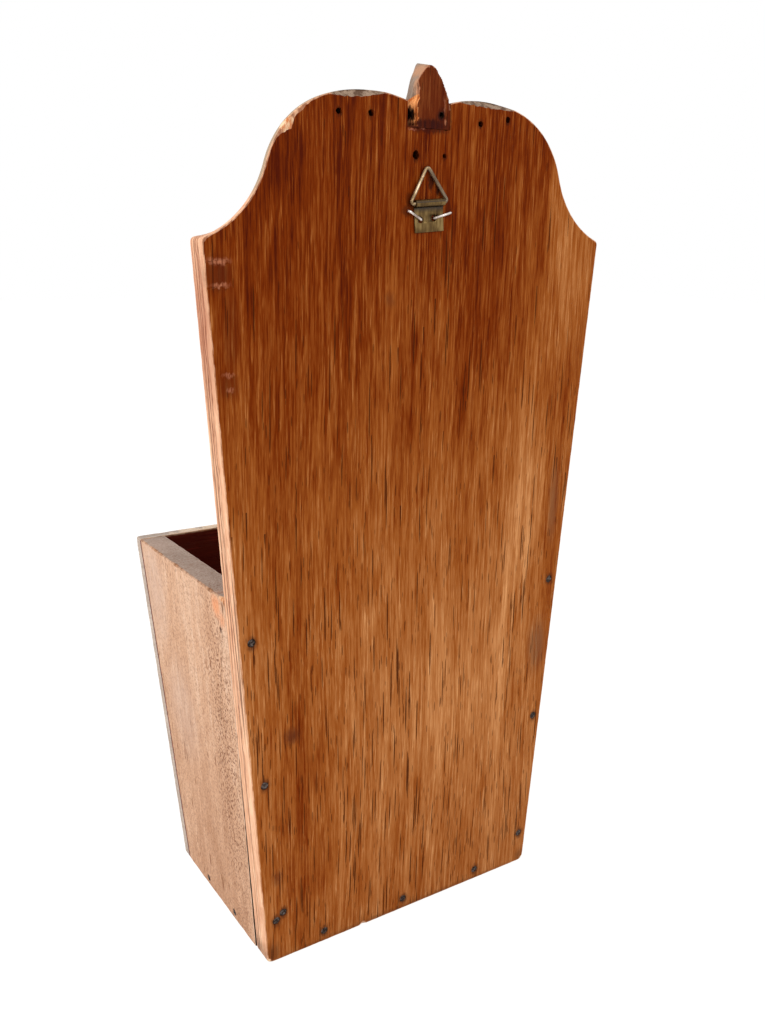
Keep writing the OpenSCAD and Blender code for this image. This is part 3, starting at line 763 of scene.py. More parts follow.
nailHalos = [(x, 59.5, h, 3.4, 6, 4.6, 0.8) for places in backNails.values() for x, h in places]
# near black down the empty nail holes and just round them: painted shade in the holes, dark stain at their
# rims
holeShadeAndStain = [(x, 57.0, h - 0.4, 1.7 * r + 0.4, 4.0, 2.4 * r + 0.6, 0.95)
              for x, h, r in backboard["emptyHoles"]]
insideShadeRed = (84, 7, 4)                            # painted shade inside the box, a deep red
backboardLook = plainOak | {
    "seed": 0.0, "poresFrom": 330.0, "poresTo": 120.0, "pores": (0.05, 0.34), "shortPores": 0.4,
    "wearFrom": (390.0, 0.17), "wearTo": (90.0, 0.59), "wearAcross": -0.05,
    "bands": 0.32, "mottle": 0.28, "streaks": 0.34, "fibres": 0.98, "lines": 0.24, "edgeLines": 0.7,
    "wearSpots": [
        (onBack((-65, 222, 14, 120, 1.0), deep=60), 0.24),
        (onBack((-55, 140, 2.6, 100, 1.0), (-61, 212, 2.4, 90, 1.0), (-67.5, 190, 2.2, 70, 0.9),
                (-75, 215, 1.8, 50, 0.8), deep=60), 0.20),
        (onBack((-82, 330, 36, 80, 1.0), deep=60), 0.26), (onBack((-25, 110, 44, 60, 1.0), deep=60), 0.10),
        (onBack((62, 70, 30, 130, 1.0), deep=60), -0.15), (onBack((0, 20, 90, 60, 1.0), deep=60), -0.06),
        (onBack((-84, 140, 9, 90, 1.0), (-25, 300, 26, 80, 0.4), deep=60), -0.24),
    ],
    "colours": [(0.0, (76, 18, 0)), (0.2, (114, 42, 0)), (0.45, (150, 80, 28)), (0.7, (180, 114, 62)),
                (1.0, (216, 152, 98))],
    "edgeColours": [(0.2, (190, 134, 100)), (0.5, (218, 166, 132)), (0.8, (238, 196, 160))],
    "edgeStains": [([(0, 53, 380, 130, 30, 48, 1.0)], (164, 140, 116), 0.85),
                   ([(95, 53, 300, 14, 30, 46, 0.55)], (160, 96, 72), 0.2),
                   ([(0, 53.2, 230, 190, 0.85, 280, 0.95), (0, 55.2, 290, 190, 0.6, 140, 0.9),
                     (0, 49.6, 250, 190, 0.55, 220, 0.7)], (112, 54, 32), 0.35)],
    "poreColour": (70, 28, 8), "poreDark": 0.9,
    "stainsAndShade": [
        (onBack((64.4, 116.0, 6.0, 6, 0.9), (72.8, 45.2, 4, 6, 0.6), (16.7, 305.8, 4, 5, 0.5)),
         (86, 38, 20), 0.1, 0.3),
        (onBack((-78, 128, 9, 22, 0.6), (-83, 205, 4.5, 30, 0.5)), (112, 78, 56), 0.2, 0.5),
        (nailHalos, (66, 32, 18), 0.35, 0.2),
        (onBack((93.5, 317, 8, 9.5, 0.75), (89, 296, 5, 24, 0.4), (90.5, 275, 6, 8, 0.55)),
         (78, 26, 8), 0.3, 0.5),
        (onBack((93.6, 321.8, 6.6, 1.9, 0.9), (93.3, 312.8, 6.0, 1.5, 0.85), (90.3, 278.9, 3.8, 1.3, 0.8),
                (90, 273.0, 2.4, 1.5, 0.7)), (180, 112, 80), 0.2, 0.75),
        # dark spots round the hanger, inside the ring's triangle and below the left staple
        (onBack((-2.5, 353.5, 2.0, 4.8, 0.95), (-6.0, 350.4, 1.5, 3.6, 0.95), (7.6, 345.4, 3.0, 5, 0.7),
                (9.5, 341.5, 3.5, 3.0, 0.6), (-11.5, 343, 2.2, 4.0, 0.5)), (46, 14, 6), 0.4, 0.35),
        # dark along the finial's joint: a stained band on the notch floor, and painted shade down the notch
        # wall and beside the finial's void
        ([(-11.3, 54, 378, 1.6, 9, 9, 0.9)] +
         onBack((-0.6, 374.2, 13.5, 3.0, 0.85), (8.2, 378, 3.0, 6.0, 0.6)), (50, 14, 8), 0.4, 0.4),
        (onBack((7.8, 373.4, 2.4, 0.7, 0.8), (2.6, 373.4, 2.0, 0.5, 0.6)), (166, 98, 76), 0.1, 0.6),
        (holeShadeAndStain, (26, 8, 4), 0.45, 0.1),
        (onBack((0, 0, 120, 3.4, 0.5), (76, 4, 7, 9, 0.6), (-76, 3, 6, 6, 0.5), deep=30),
         (78, 38, 18), 0.2, 0.3),
    ],
    "arrisColour": (226, 174, 138), "arrisWear": (0.3, 0.8), "bareColours": ((196, 120, 74), (236, 204, 166)),
    "rubColours": ((100, 76, 60), (158, 134, 114)),
    # painted shade on the backboard's inner face between the sides, below the rim
    "insideShade": [([((0, -1, 0), -48.1, 0.5), ((0, 0, -1), -182.5, 1.5), ((-1, 0, taper), -66.5, 1.2)],
              insideShadeRed, 0.97)],
    "rough": 0.46, "bump": 0.8, "shine": 0.03,
}


def arc(centre, radius, bearings):
    # points at compass bearings about a centre, in degrees clockwise from straight up
    turn = np.radians(bearings)
    return np.stack([centre[0] + radius * np.sin(turn), centre[1] + radius * np.cos(turn)], 1)


def headOutline(look):
    # half of the head from the middle: a flat arc, a rounder arc and a hollow that ends at the
    # shoulder corner, each touching the next; with the share of the bevel at each point
    corner = np.array([box["shoulderWidth"] / 2, box["shoulderHeight"]])
    top = np.array([look["humpX"], box["shoulderHeight"] + look["humpRise"] - look["topArc"]])
    turn = math.radians(look["arcTurn"])
    side = top + (look["topArc"] - look["sideArc"]) * np.array([math.sin(turn), math.cos(turn)])
    off = corner - side
    reach = np.linalg.norm(off)
    both = look["sideArc"] + look["coveArc"]
    bend = math.acos((both ** 2 + reach ** 2 - look["coveArc"] ** 2) / (2 * both * reach))
    rise = math.atan2(off[1], off[0]) + bend
    cove = side + both * np.array([math.cos(rise), math.sin(rise)])
    fromCove = corner - cove
    rise = math.degrees(rise)
    sweep = 180 + math.degrees(math.atan2(fromCove[1], fromCove[0])) - rise
    first = -math.degrees(math.asin(look["humpX"] / look["topArc"]))
    share = np.linspace(0, 1, 60)
    flat = arc(top, look["topArc"], first + (look["arcTurn"] - first) * share)
    outer = arc(side, look["sideArc"], look["arcTurn"] + (90 - rise - look["arcTurn"]) * share)
    hollow = arc(cove, look["coveArc"], -90 - rise - sweep * share)
    left = np.minimum(1, sweep * (1 - share) / look["bevelFade"])
    bevel = np.r_[np.ones(2 * len(share)), left ** 2 * (3 - 2 * left)]
    return np.column_stack([np.vstack([flat, outer, hollow]), bevel])


def notchCutter(look):
    # section of the notch carried through the board: straight walls, and a floor of torn fibres
    # whose raggedness dies away a few millimetres in from the back
    x = np.linspace(look["notchFrom"], look["notchTo"], 48)
    torn = -0.3 * np.abs(ripple(96, (2, 14), 12)[:48]) - 0.05
    x = np.r_[x, look["notchTo"], look["notchFrom"]]
    floor = np.r_[torn * 0 + look["notchFloor"], 400, 400]
    depth = np.array([-1, 0, 0.8, 1.8, 3.2, 5.0, 13.5])[:, None]
    h = floor + np.interp(depth, [0, 4], [1, 0]) * np.r_[torn, 0, 0]
    return skin("notch", toFrame(x, h, depth))


def dentCutter(x, h, a, b, deep):
    # shallow oval hollow: an ellipsoid with a wavy edge that dips into the back face
    across = np.linspace(0, np.pi, 9)[1:-1, None]
    angle = np.linspace(0, 2 * np.pi, 28, endpoint=False)
    px = x + a * np.sin(across) * np.cos(angle)
    ph = h + b * np.sin(across) * np.sin(angle) + 0.25 * b * np.cos(2.3 * px)
    return skin("dent", toFrame(px, ph, -deep * (2 * np.cos(across) + 1)))


def makeBackboard(look, paint):
    half = headOutline(look)
    foot = box["footWidth"] / 2
    loop = evenLoop(np.vstack([half, [[foot, 0, 0], [-foot, 0, 0]], (half * (-1, 1, 1))[::-1]]), look["step"])
    loop, share = roundCorners(loop[:, :2], 2), loop[:, 2]
    count = len(loop)
    wobble, fine = ripple(count, (20, 160), 3), ripple(count, (120, 420), 4)
    face = look["arris"] * (1 + 0.16 * wobble + 0.1 * fine)
    deep = look["arris"] * (1 + 0.14 * ripple(count, (20, 200), 5))
    front = look["frontArris"] * (1 + 0.12 * ripple(count, (20, 160), 6))
    bare, flatness, rubbed = np.zeros((3, count))
    for x, h, wide, faceChip, deepChip in look["chips"] + look["nicks"]:
        near = hump(loop, x, h, wide)
        face = face + faceChip * near * (1 + 0.22 * fine)
        deep = deep + deepChip * near * (1 + 0.2 * wobble)
        if (x, h, wide, faceChip, deepChip) in look["chips"]:
            bare = np.maximum(bare, near * min(1, faceChip / 2.0))
    for start, end, drop, depth in look["rubs"]:
        across = (loop[:, 0] - start) / (end - start) * 2 - 1
        lens = np.clip(1 - across ** 2, 0, 1) * (loop[:, 1] > box["shoulderHeight"] + 40)
        face = face + drop * lens * (1 + 0.06 * fine)
        deep = deep + depth * lens * (1 + 0.08 * wobble)
        flatness = np.maximum(flatness, np.clip(lens * 4, 0, 1))
        rubbed = np.maximum(rubbed, np.clip(lens * 6, 0, 1))
    piece = boardSkin("backboard_oak", loop, lambda x, h, d: (x, h, d), box["backThick"],
                      marks={"bare": bare, "rubbed": rubbed}, backRound=np.clip(face, 0.3, 9),
                      backDeep=np.clip(deep, 0.3, 4.5), frontRound=np.clip(front, 0.3, 3),
                      bevel=look["bevel"] * share, land=look["land"] + 0.6, flatness=flatness)
    shape = np.array([(1.08, -1), (1.05, 0.1), (1, 0.8), (0.9, 5.2), (0.4, 6.0)])
    holes = [hole(shape * (r, 1), x, h, 0.10, 60 + k) for k, (x, h, r) in enumerate(look["emptyHoles"])]
    dents = [dentCutter(*dent) for dent in look["dents"]]
    cutAway(piece, [notchCutter(look), joined("holes", holes), joined("dents", dents),
                    nailCutters(sorted(backNails), 20)])
    finish(piece, "backboard", paint)


makeBackboard(backboard, oakPaint("darkBackOak", backboardLook))
print("backboard done")

# box boards
sideBoards = {"arris": 0.55, "rimArris": 0.8, "rimFrom": 176.0, "rimFade": 4.0, "step": 1.0}
sideLook = plainOak | {
    "seed": 3.7, "pores": (0.03, 0.03), "shortPores": 3.0, "specks": 0.8,
    "speckSpots": [(84, 34, 95, 30, 20, 140, 0.8)], "wearFrom": (190.0, 0.68), "wearTo": (0.0, 0.56),
    "bands": 0.35, "mottle": 0.30, "streaks": 0.30, "fibres": 0.36, "lines": 0.10, "edgeLines": 0.15,
    "wearSpots": [([(90, -56, 100, 40, 12, 120, 1.0)], -0.16)],
    "colours": [(0.0, (108, 68, 46)), (0.35, (160, 114, 82)), (0.65, (198, 156, 126)),
                (1.0, (228, 198, 174))],
    "edgeColours": [(0.2, (134, 114, 100)), (0.5, (164, 144, 130)), (0.8, (188, 168, 154))],
    "poreColour": (122, 80, 56), "poreDark": 0.75,
    "stainsAndShade": [([(88, -42, 160, 14, 22, 46, 0.5), (84, -20, 100, 14, 26, 40, 0.4)],
                (196, 168, 152), 0.2, 0.3),
               ([(90, 38, 176, 14, 7, 8, 0.8), (90, 43, 171, 14, 5, 6, 0.6)], (220, 140, 92), 0.2, 0.4),
               ([(89.1, 40.9, 165.8, 8, 1.6, 2.4, 0.9)], (66, 34, 20), 0.3, 0.0)],
    "arrisColour": (226, 196, 172), "arrisWear": (0.2, 0.8), "bareColours": ((186, 122, 80), (212, 164, 126)),
    "rubColours": ((122, 84, 58), (176, 130, 98)),
    # painted shade: dark red on the inner face, near black along the rear edge where the joint gap opens,
    # darker on the front end against the front board
    "insideShade": [([((-1, 0, taper), -65.7, 0.5), ((0, 0, -1), -182.2, 1.2)], insideShadeRed, 0.97),
             ([((0, 1, -0.01263), 45.9, 0.3), ((0, 0, -1), -181.2, 0.4)], (26, 12, 8), 0.95),
             ([((0, -1, -lean), 35.3, 0.35), ((0, 0, -1), -181.2, 0.4)], (84, 54, 40), 0.8)],
    "rough": 0.55, "bump": 0.7, "shine": 0.05,
}


def boardLoop(corners, look):
    return roundCorners(evenLoop(np.array(corners, float), look["step"]))


def rimShare(loop, look):
    # 0 below the rim and 1 along it, and the size of the arris that follows from it
    share = np.clip((loop[:, 1] - look["rimFrom"]) / look["rimFade"], 0, 1)
    return share, look["arris"] + (look["rimArris"] - look["arris"]) * share


def makeSide(side, sign, look, gap, chips, paint):
    # outline in depth and height: rear edge, foot, leaning front edge and rim
    rear, rim = box["backThick"], box["rimHeight"]
    foot, top = frontOut(0) - frontRun, frontOut(rimFrontHeight) - frontRun
    loop = boardLoop([[rear, rim], [rear, box["jointGapHeight"]], [rear + gap, 0], [foot, 0],
                      [top, rim - box["rimFall"] * (top - rear) / box["rimDepth"]]], look)
    atRim, size = rimShare(loop, look)
    count = len(loop)
    wobble = ripple(count, (12, 90), 31)
    outer = size * (1 + 0.3 * wobble)
    inner = size * (1 + 0.3 * ripple(count, (12, 90), 33))
    bare = np.zeros(count)
    for d, h, wide, into in chips:
        near = hump(loop, d, h, wide)
        outer = outer + into * near
        bare = np.maximum(bare, near)
    piece = boardSkin(side + "_side_board_oak", loop, lambda d, h, w: (sign * (sideOut(h) - w), h, d),
                      sideRun, marks={"bare": bare, "rubbed": atRim * (0.75 + 0.25 * wobble)},
                      backRound=np.clip(outer, 0.2, 5), frontRound=np.clip(inner, 0.2, 5))
    cutAway(piece, [nailCutters([f"nails_back_to_{side}_side", f"nails_front_to_{side}_side",
                                 f"nails_{side}_side_to_bottom"], 70)])
    finish(piece, side + "_side_board", paint)


sidePaint = oakPaint("paleSideOak", sideLook)
makeSide("left", 1, sideBoards, box["jointGap"], [(14, 181, 3.0, 1.6)], sidePaint)
makeSide("right", -1, sideBoards, 0.0, [], sidePaint)

frontBoard = {"arris": 0.6, "rimArris": 1.0, "rimFrom": 174.0, "rimFade": 5.0, "step": 1.0}
frontLook = plainOak | {
    "seed": 8.1, "grainAcross": True, "pores": (0.35, 0.4), "shortPores": 0.8, "specks": 0.25,
    "wearFrom": (190.0, 0.62), "wearTo": (0.0, 0.5), "wearSpots": [([(0, -60, 172, 80, 12, 14, 1.0)], 0.1)],
    "bands": 0.45, "mottle": 0.25, "streaks": 0.45, "fibres": 0.45, "lines": 0.14, "edgeLines": 0.15,
    "colours": [(0.0, (92, 50, 26)), (0.35, (142, 90, 54)), (0.65, (178, 124, 82)), (1.0, (214, 168, 124))],
    "edgeColours": [(0.2, (150, 132, 118)), (0.5, (178, 160, 146)), (0.8, (200, 184, 170))],
    "edgeStains": [([(0, -60, 181, 89, 14, 3.4, 1.0)], (226, 200, 172), 0.7)],
    "poreColour": (84, 46, 26), "poreDark": 0.75, "arrisColour": (206, 176, 146), "arrisWear": (0.1, 0.6),
    # painted shade on the front board's inner face, below the rim
    "insideShade": [([((0, 1, lean), -37.1, 0.5), ((0, 0, -1), -180.0, 1.2)], insideShadeRed, 0.93)],
    "rough": 0.48, "bump": 0.7, "shine": 0.12,
}


def makeFront(look, paint):
    # trapezium as wide as the sides, its thickness leaning with the front
    foot, top = sideOut(0), sideOut(rimFrontHeight)
    loop = boardLoop([[foot, 0], [top, rimFrontHeight], [-top, rimFrontHeight], [-foot, 0]], look)
    size = rimShare(loop, look)[1]
    outer = size * (1 + 0.3 * ripple(len(loop), (12, 110), 51))
    inner = size * (1 + 0.35 * ripple(len(loop), (12, 160), 52))
    piece = boardSkin("front_board_oak", loop, lambda x, h, w: (x, h, frontOut(h) - w), frontRun,
                      backRound=np.clip(outer, 0.2, 3), frontRound=np.clip(inner, 0.2, 3))
    cutAway(piece, [nailCutters([name for name in sorted(driven) if "front" in name], 90)])
    finish(piece, "front_board", paint)


makeFront(frontBoard, oakPaint("frontOak", frontLook))

bottomBoard = {"arris": 0.3, "step": 1.5}
bottomLook = plainOak | {
    "seed": 5.5, "grainAcross": True, "pores": (0.3, 0.3), "shortPores": 1.0,
    "wearFrom": (20.0, 0.3), "wearTo": (0.0, 0.5),
    "bands": 0.4, "mottle": 0.25, "streaks": 0.4, "fibres": 0.4, "lines": 0.1, "edgeLines": 0.4,
    "colours": [(0.0, (84, 50, 30)), (0.35, (128, 86, 56)), (0.65, (164, 120, 84)), (1.0, (198, 156, 118))],
    "edgeColours": [(0.2, (78, 62, 50)), (0.5, (112, 94, 80)), (0.8, (146, 126, 110))],
    "poreColour": (80, 48, 30), "poreDark": 0.7, "arrisColour": (170, 126, 92), "arrisWear": (0.0, 0.4),
    # painted shade on the bottom's top face, inside the box
    "insideShade": [([((0, 0, 1), 10.4, 0.4)], (34, 14, 8), 0.93)],
    "rough": 0.6, "bump": 0.8, "shine": 0.1,
}


def makeBottom(look, paint):
    rear, front, half = box["backThick"], frontOut(0) - frontRun, sideOut(0) - sideRun
    loop = boardLoop([[half, rear], [half, front], [-half, front], [-half, rear]], look)

    def toBoard(x, d, h):
        # both the width and the depth grow with the height, as the sides and the front lean out
        grow = (front + lean * h - rear) / (front - rear)
        return x * (half + taper * h) / half, h, rear + (d - rear) * grow

    piece = boardSkin("bottom_board_oak", loop, toBoard, box["bottomThick"], backRound=look["arris"],
                      frontRound=look["arris"])
    cutAway(piece, [nailCutters(["nails_back_to_bottom", "nails_front_to_bottom", "nails_left_side_to_bottom",
                                 "nails_right_side_to_bottom"], 110)])
    finish(piece, "bottom_board", paint)


makeBottom(bottomBoard, oakPaint("bottomOak", bottomLook))
print("box boards done")

# finial
finial = {
    "x": -0.6, "width": 21.4, "foot": 374.0, "height": 23.8, "square": 6.0, "spring": 6.5, "tip": 2.6,
    "tipRound": 1.3, "skew": -0.6, "bulge": 1.7, "lean": 0.8, "rise": 2.2, "deep": 12.0, "core": 5.4,
    "breakX": 5.7, "breakDeep": 6.0, "breakTop": 13.4, "slim": 1.8, "slimFrom": 18.5, "slimTo": 12.0,
    "nailHole": (-6.9, 379.5), "void": (8.4, 378.9, 1.5, 1.75),     # x, h, radius, how much taller than wide
}
finialLook = plainOak | {
    "seed": 11.3, "poresTo": 370.0, "pores": (0.12, 0.12), "shortPores": 1.8, "shiver": (0.003, 0.003, 0.003),
    "wearFrom": (398.0, 0.24), "wearTo": (374.0, 0.17),
    "bands": 0.3, "mottle": 0.35, "streaks": 0.3, "fibres": 0.55, "lines": 0.16, "edgeLines": 0.3,
    "colours": [(0.0, (62, 12, 0)), (0.22, (94, 34, 6)), (0.5, (138, 74, 34)), (0.8, (172, 112, 70)),
                (1.0, (204, 154, 114))],
    "edgeColours": [(0.2, (98, 80, 66)), (0.5, (132, 112, 98)), (0.8, (160, 140, 124))],
    "edgeStains": [([(2, 56, 396, 9, 9, 4, 0.8), (5.5, 58.5, 391, 2, 3, 7, 0.7)], (182, 134, 102), 0.3)],
    "poreColour": (58, 20, 8), "poreDark": 0.8,
    "stainsAndShade": [([(-0.6, 59, 375.4, 14, 7, 3.2, 0.95), (-6.9, 59, 379.0, 3.0, 5, 4.2, 0.8)],
                (48, 12, 8), 0.35, 0.45),
               ([(-8.2, 59, 383.0, 0.7, 4, 4.0, 0.75), (-8.8, 59, 377.0, 1.0, 4, 1.5, 0.7)],
                (180, 116, 84), 0.1, 0.6),
               # painted shade, near black, down the old nail hole
               ([(-6.9, 57, 379.3, 2.1, 4.5, 2.5, 1.0)], (20, 6, 4), 0.55, 0.0)],
    "arrisColour": (190, 132, 98), "arrisWear": (0.35, 0.85), "bareColours": ((176, 92, 40), (222, 150, 92)),
    # painted shade: dark brown between the break and the notch wall, near black in the void below it
    "shadeSpots": [([(9.4, 56, 384.2, 3.4, 9, 3.2, 0.85), (7.5, 56, 375.0, 5.0, 9, 2.4, 0.9)], (74, 26, 12), 0.35),
             ([(9.2, 56, 379.0, 4.2, 12, 3.9, 1.0)], (16, 5, 3), 0.62)],
    "rough": 0.55, "bump": 0.9, "shine": 0.04,
}


def makeFinial(look, paint):
    # Star-shaped sections stacked up the height. A section is a half oval, flat at the back, that
    # starts as a square foot; its reach from the core is cut short by the break at the lower left
    tall, shoulder, cd = look["height"], look["height"] - look["tipRound"], look["core"]
    rows = np.r_[0, 0.3, np.linspace(0.8, shoulder, 60),
                 tall - look["tipRound"] * (1 - np.sin(np.linspace(0.12, 1, 9) * np.pi / 2))]
    cols = 120
    angle = np.linspace(0, 2 * np.pi, cols, endpoint=False)
    h = rows[:, None]
    up = np.clip((h - look["spring"]) / (tall - look["spring"]), 0, 1)
    half = look["tip"] / 2 + (look["width"] - look["tip"]) / 2 * (1 - up) + 4 * look["bulge"] * up * (1 - up)
    grown = (h / tall) ** 2
    deep = look["deep"] - look["lean"] * grown
    cx = look["skew"] * up
    squareness = np.interp(rows, [0, look["square"], look["square"] + 3.5], [14, 14, 2.2])[:, None]
    # reach along each angle to the half oval |x/half|^n + (d/deep)^n = 1, found by halving
    sx, sd = np.sin(angle)[None], np.cos(angle)[None]
    low, high = np.zeros((len(rows), cols)), np.full((len(rows), cols), 40.0)
    for _ in range(40):
        middle = (low + high) / 2
        px, pd = middle * sx, cd + middle * sd
        outside = (np.abs(px / half) ** squareness + np.clip(pd / deep, 0, None) ** squareness > 1) | (pd < 0)
        low, high = np.where(outside, low, middle), np.where(outside, middle, high)
    # the side towards +x is slimmer above the notch
    ease = np.clip((look["slimFrom"] - h) / (look["slimFrom"] - look["slimTo"]), 0, 1)
    ease = ease * np.clip((h - 8) / 3.5, 0, 1)
    slim = look["slim"] * ease ** 2 * (3 - 2 * ease)
    # the break: a slanting plane from breakX at the back to the notch's wall at breakDeep
    nx, nd = look["breakDeep"], look["breakX"] - look["width"] / 2
    nx, nd = nx / math.hypot(nx, nd), nd / math.hypot(nx, nd)
    grain = 0.22 * ripple(cols, (20, 50), 77) + 0.2 * ripple(len(rows), (2, 9), 78)[:, None]
    facing = sx * nx + sd * nd
    far = nx * (look["breakX"] - cx) + grain - cd * nd
    limit = np.where((facing > 0.02) & (h >= 0.4), far / np.maximum(facing, 0.02), 99)
    cut = limit < low - 0.05
    reach = np.minimum(low, np.maximum(limit, 0.5))
    # the tip closes as a quarter round over the last rows
    close = np.clip(h - shoulder, 0, None) / (look["tipRound"] + 0.02)
    close = np.sqrt(np.clip(1 - close ** 2, 0, 1))
    x = cx + reach * sx * (0.25 + 0.75 * close)
    x = x - slim * np.clip((x - cx) / half, 0, 1) ** 2
    d = np.clip(cd + reach * sd * (0.8 + 0.2 * close), 0, None)
    lift = look["rise"] * grown * d / look["deep"]
    weather = 0.12 * ripple(cols, (5, 22), 79) * np.clip(up * 4, 0, 1)
    x = x * (1 + weather / np.maximum(np.abs(x), 3))
    # marks: the torn break, the worn arris along the back's edges, and the weathered side
    breakLine = look["breakTop"] - 0.5 * d + 0.5 * ripple(len(rows), (3, 12), 81)[:, None]
    bare = cut * np.clip((breakLine - h) / 1.2, 0, 1)
    arris = 0.9 * ((np.abs(x - cx) > half * 0.5) & (d > 0.05) & (d < 1.3))
    edge = np.clip((d - 0.15) / 0.8, 0, 1) * np.where((x > 0) & (sx > 0.5) & (h > 3), 1, d > 1.0)
    piece = skin("finial_oak", toFrame(look["x"] + x, look["foot"] + h + lift, d),
                 marks={"arris": arris, "bare": bare, "edge": edge})
    piece.data.set_sharp_from_angle(angle=math.radians(38))
    x, h, radius, taller = look["void"]
    profile = [(radius * 1.1, -1), (radius, 2.5), (radius * 0.9, 6.5), (0.4, 8.5)]
    void = spun(profile, (x, h, 0), (0, 0, 1), 20, 0.12, 89)
    void[..., 2] = h * mm + (void[..., 2] - h * mm) * taller
    oldNail = hole([(1.25, -1), (1.2, 0.2), (1.1, 4.8), (0.4, 6.0)], *look["nailHole"], 0.12, 88, 18)
    cutAway(piece, [joined("holes", [oldNail, skin("hole", void)])])
    finish(piece, "finial", paint)


makeFinial(finial, oakPaint("finialOak", finialLook))
print("finial done")

# hanger
hanger = {
    "x": -1.1, "h": 345.0, "tilt": 4.5, "plateWidth": 14.6, "sheet": 0.7, "drop": 11.7, "flap": 0.3,
    "roll": 1.5, "wire": 1.5, "ringWidth": 19.2, "ringHeight": 14.8, "ringShift": 0.3, "lowBend": 0.9,
    "topBend": 1.3, "rest": 0.3, "staple": 1.2, "stapleBend": 0.8, "stapleDeep": 8.0, "crownRise": 1.4,
    "soft": 0.12, "round": 0.15, "holeRadius": 1.2, "groove": 0.16, "grooveAt": 158.0, "grooveWidth": 13.0,
    "leftStaple": ((4.3, -6.6), (10.3, -2.7)), "rightStaple": ((-2.3, -6.2), (-11.0, -4.5)),
}
plainWire = {"shine": 0.5, "metal": 0.95, "bump": 0.3, "patch": 220.0, "scratch": (1600, 1600, 1600)}
# in each metal look, the colour for the mark hollow is painted shade
plateLook = {"colours": [(0.0, (64, 46, 24)), (0.5, (98, 76, 42)), (1.0, (136, 112, 70))],
             "shadeColour": (40, 26, 12), "rough": (0.52, 0.38), "shine": 0.4, "metal": 0.85, "bump": 0.4,
             "patch": 160.0, "scratch": (900, 900, 160)}
ringLook = plainWire | {"colours": [(0.0, (112, 90, 62)), (0.5, (152, 128, 96)), (1.0, (204, 182, 150))],
                        "shadeColour": (72, 52, 34), "rough": (0.42, 0.26)}
stapleLook = plainWire | {"colours": [(0.0, (140, 122, 110)), (0.5, (190, 178, 168)), (1.0, (232, 224, 218))],
                          "shadeColour": (84, 66, 54), "rough": (0.38, 0.22)}
nailLook = {"colours": [(0.0, (30, 22, 19)), (0.5, (62, 51, 46)), (1.0, (108, 97, 92))],
            "shadeColour": (20, 14, 12), "rough": (0.85, 0.7), "shine": 0.08, "metal": 0.2, "bump": 0.6,
            "patch": 900.0, "scratch": (1500, 1500, 1500)}


def hangerSpace(a, b, c):
    # sideways, up and deep from the ring's axis, in the hanger's own level, to the row frame
    turn = math.radians(hanger["tilt"])
    x = hanger["x"] + a * math.cos(turn) + b * math.sin(turn)
    h = hanger["h"] - a * math.sin(turn) + b * math.cos(turn)
    return toFrame(x, h, c)


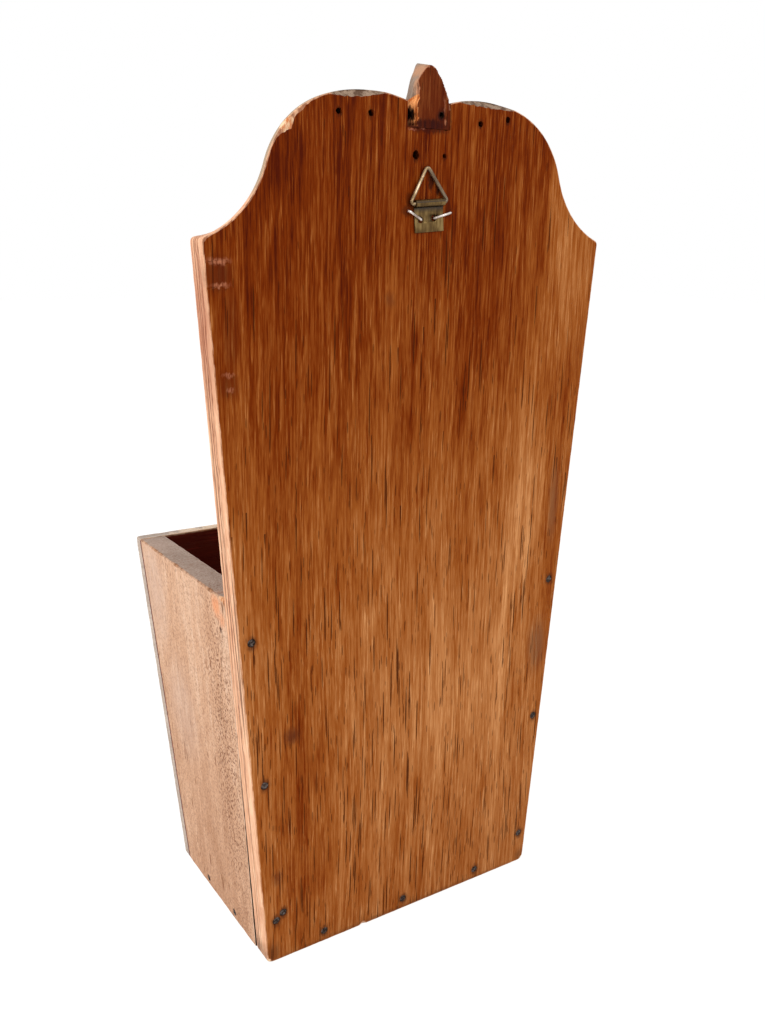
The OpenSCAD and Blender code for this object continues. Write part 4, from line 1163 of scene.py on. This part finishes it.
def makePlate(look, paint):
    # section of the sheet, [deep, up], carried across the plate's width: up the flat, round the
    # wire and down behind, with a shallow groove pressed along the roll
    sheet, roll, drop, soft, wide = (look[key] for key in ("sheet", "roll", "drop", "soft", "plateWidth"))
    turn = np.radians(np.linspace(90, 298, 40))         # from the top round the camera's side
    press = look["groove"] * np.exp(-((np.degrees(turn) - look["grooveAt"]) / look["grooveWidth"]) ** 2)
    outerArc = np.stack([-roll + (roll - press) * np.cos(turn), (roll - press) * np.sin(turn)], 1)
    turn = np.radians(np.linspace(0, 84, 14))
    topArc = np.stack([-roll + roll * np.cos(turn), roll * np.sin(turn)], 1)
    low = -roll - look["flap"]
    outline = np.vstack([
        [[soft - sheet, -drop], [-soft, -drop], [0, soft - drop], [0, -6], [0, -2]], topArc,
        outerArc[outerArc[:, 1] > -roll * 0.93],
        [[-2 * sheet, low + soft], [-2 * sheet + soft, low], [-sheet, low], [-sheet, -4], [-sheet, -8],
         [-sheet, soft - drop]]])
    across = np.array([0, 0.12, 0.3, 1, 4, 8, 12, 13.6, 14.3, 14.48, 14.6]) / 14.6 * wide - wide / 2
    shrink = (look["round"] - np.minimum(wide / 2 - np.abs(across), look["round"])) * 0.6
    c, b = np.moveaxis(outline + shrink[:, None, None] * inward(outline), -1, 0)
    # painted shade along the pressed groove of the roll and in the crease under it
    hollow = np.exp(-((outline[:, 1] - 0.55) / 0.35) ** 2) * (outline[:, 0] < -2.2) * 0.8
    hollow = np.maximum(hollow, (np.abs(outline[:, 1] + 1.9) < 0.35) * 0.9)
    piece = skin("hanger_plate_brass", hangerSpace(across[:, None], b, c), marks={"hollow": hollow})
    piece.data.set_sharp_from_angle(angle=math.radians(35))
    turn = np.linspace(0, 2 * np.pi, 36, endpoint=False)
    bore = skin("bore", hangerSpace(np.array([[-1], [1]]) * (wide / 2 + 1), (roll - sheet) * np.sin(turn),
                                    -roll + (roll - sheet) * np.cos(turn)))
    turn = np.linspace(0, 2 * np.pi, 24, endpoint=False)
    x, y, through = look["holeRadius"] * np.cos(turn), look["holeRadius"] * np.sin(turn), [[-sheet - 1], [1]]
    holes = [skin("hole", hangerSpace(a + x, b + y, np.array(through)))
             for a, b in (look["leftStaple"][0], look["rightStaple"][0])]
    cutAway(piece, [bore, joined("holes", holes)])
    finish(piece, "hanger_plate", paint)


def makeRing(look, paint):
    # round wire carried round a triangle with bent corners, leaning in to rest near the board
    half, shift, tall = look["ringWidth"] / 2, look["ringShift"], look["ringHeight"]
    corners = [(shift + half, 0, 0), (shift, tall, 0), (shift - half, 0, 0)]
    path = bentPath(corners, (look["lowBend"], look["topBend"], look["lowBend"]), closed=True)
    path = along(path, 0.5, closed=True)
    a, b, c = np.moveaxis(tubeRings(path, look["wire"] / 2, (0, 0, 1), 20, closed=True), -1, 0)
    # painted shade on the leg away from the light as it runs down, and underneath
    shadedSide = np.clip((shift + 1.2 - a) / 1.5, 0, 1) * np.clip((tall - 0.5 - b) / 2, 0, 1) * 0.75
    angle = math.asin((look["roll"] - look["wire"] / 2 - look["rest"]) / tall)
    b, c = b * math.cos(angle) - c * math.sin(angle), b * math.sin(angle) + c * math.cos(angle) - look["roll"]
    piece = skin("hanger_ring_wire", hangerSpace(a, b, c), loopRows=True, marks={"hollow": shadedSide})
    finish(piece, "hanger_ring", paint, "ring")


def makeStaple(side, look, paint):
    # round wire bent square twice: leg, crown over the plate's edge, leg
    inner, outer = (np.array(e) for e in look[side + "Staple"])
    deep, crown, bend = look["stapleDeep"], -look["crownRise"], look["stapleBend"]
    corners = [(*inner, deep), (*inner, crown), (*outer, crown), (*outer, deep)]
    path = along(bentPath(corners, (0, bend, bend, 0)), 0.4)
    way = (outer - inner) / np.linalg.norm(outer - inner)
    rings = tubeRings(path, look["staple"] / 2, (-way[1], way[0], 0), 18)
    piece = skin(f"hanger_staple_{side}_wire", hangerSpace(*np.moveaxis(rings, -1, 0)))
    finish(piece, "hanger_staple_" + side, paint)


makePlate(hanger, metalPaint("oldBrass", plateLook))
makeRing(hanger, metalPaint("ringWire", ringLook))
staplePaint = metalPaint("stapleWire", stapleLook)
makeStaple("left", hanger, staplePaint)
makeStaple("right", hanger, staplePaint)
makeNails(metalPaint("nailIron", nailLook))
print("hanger and nails done")
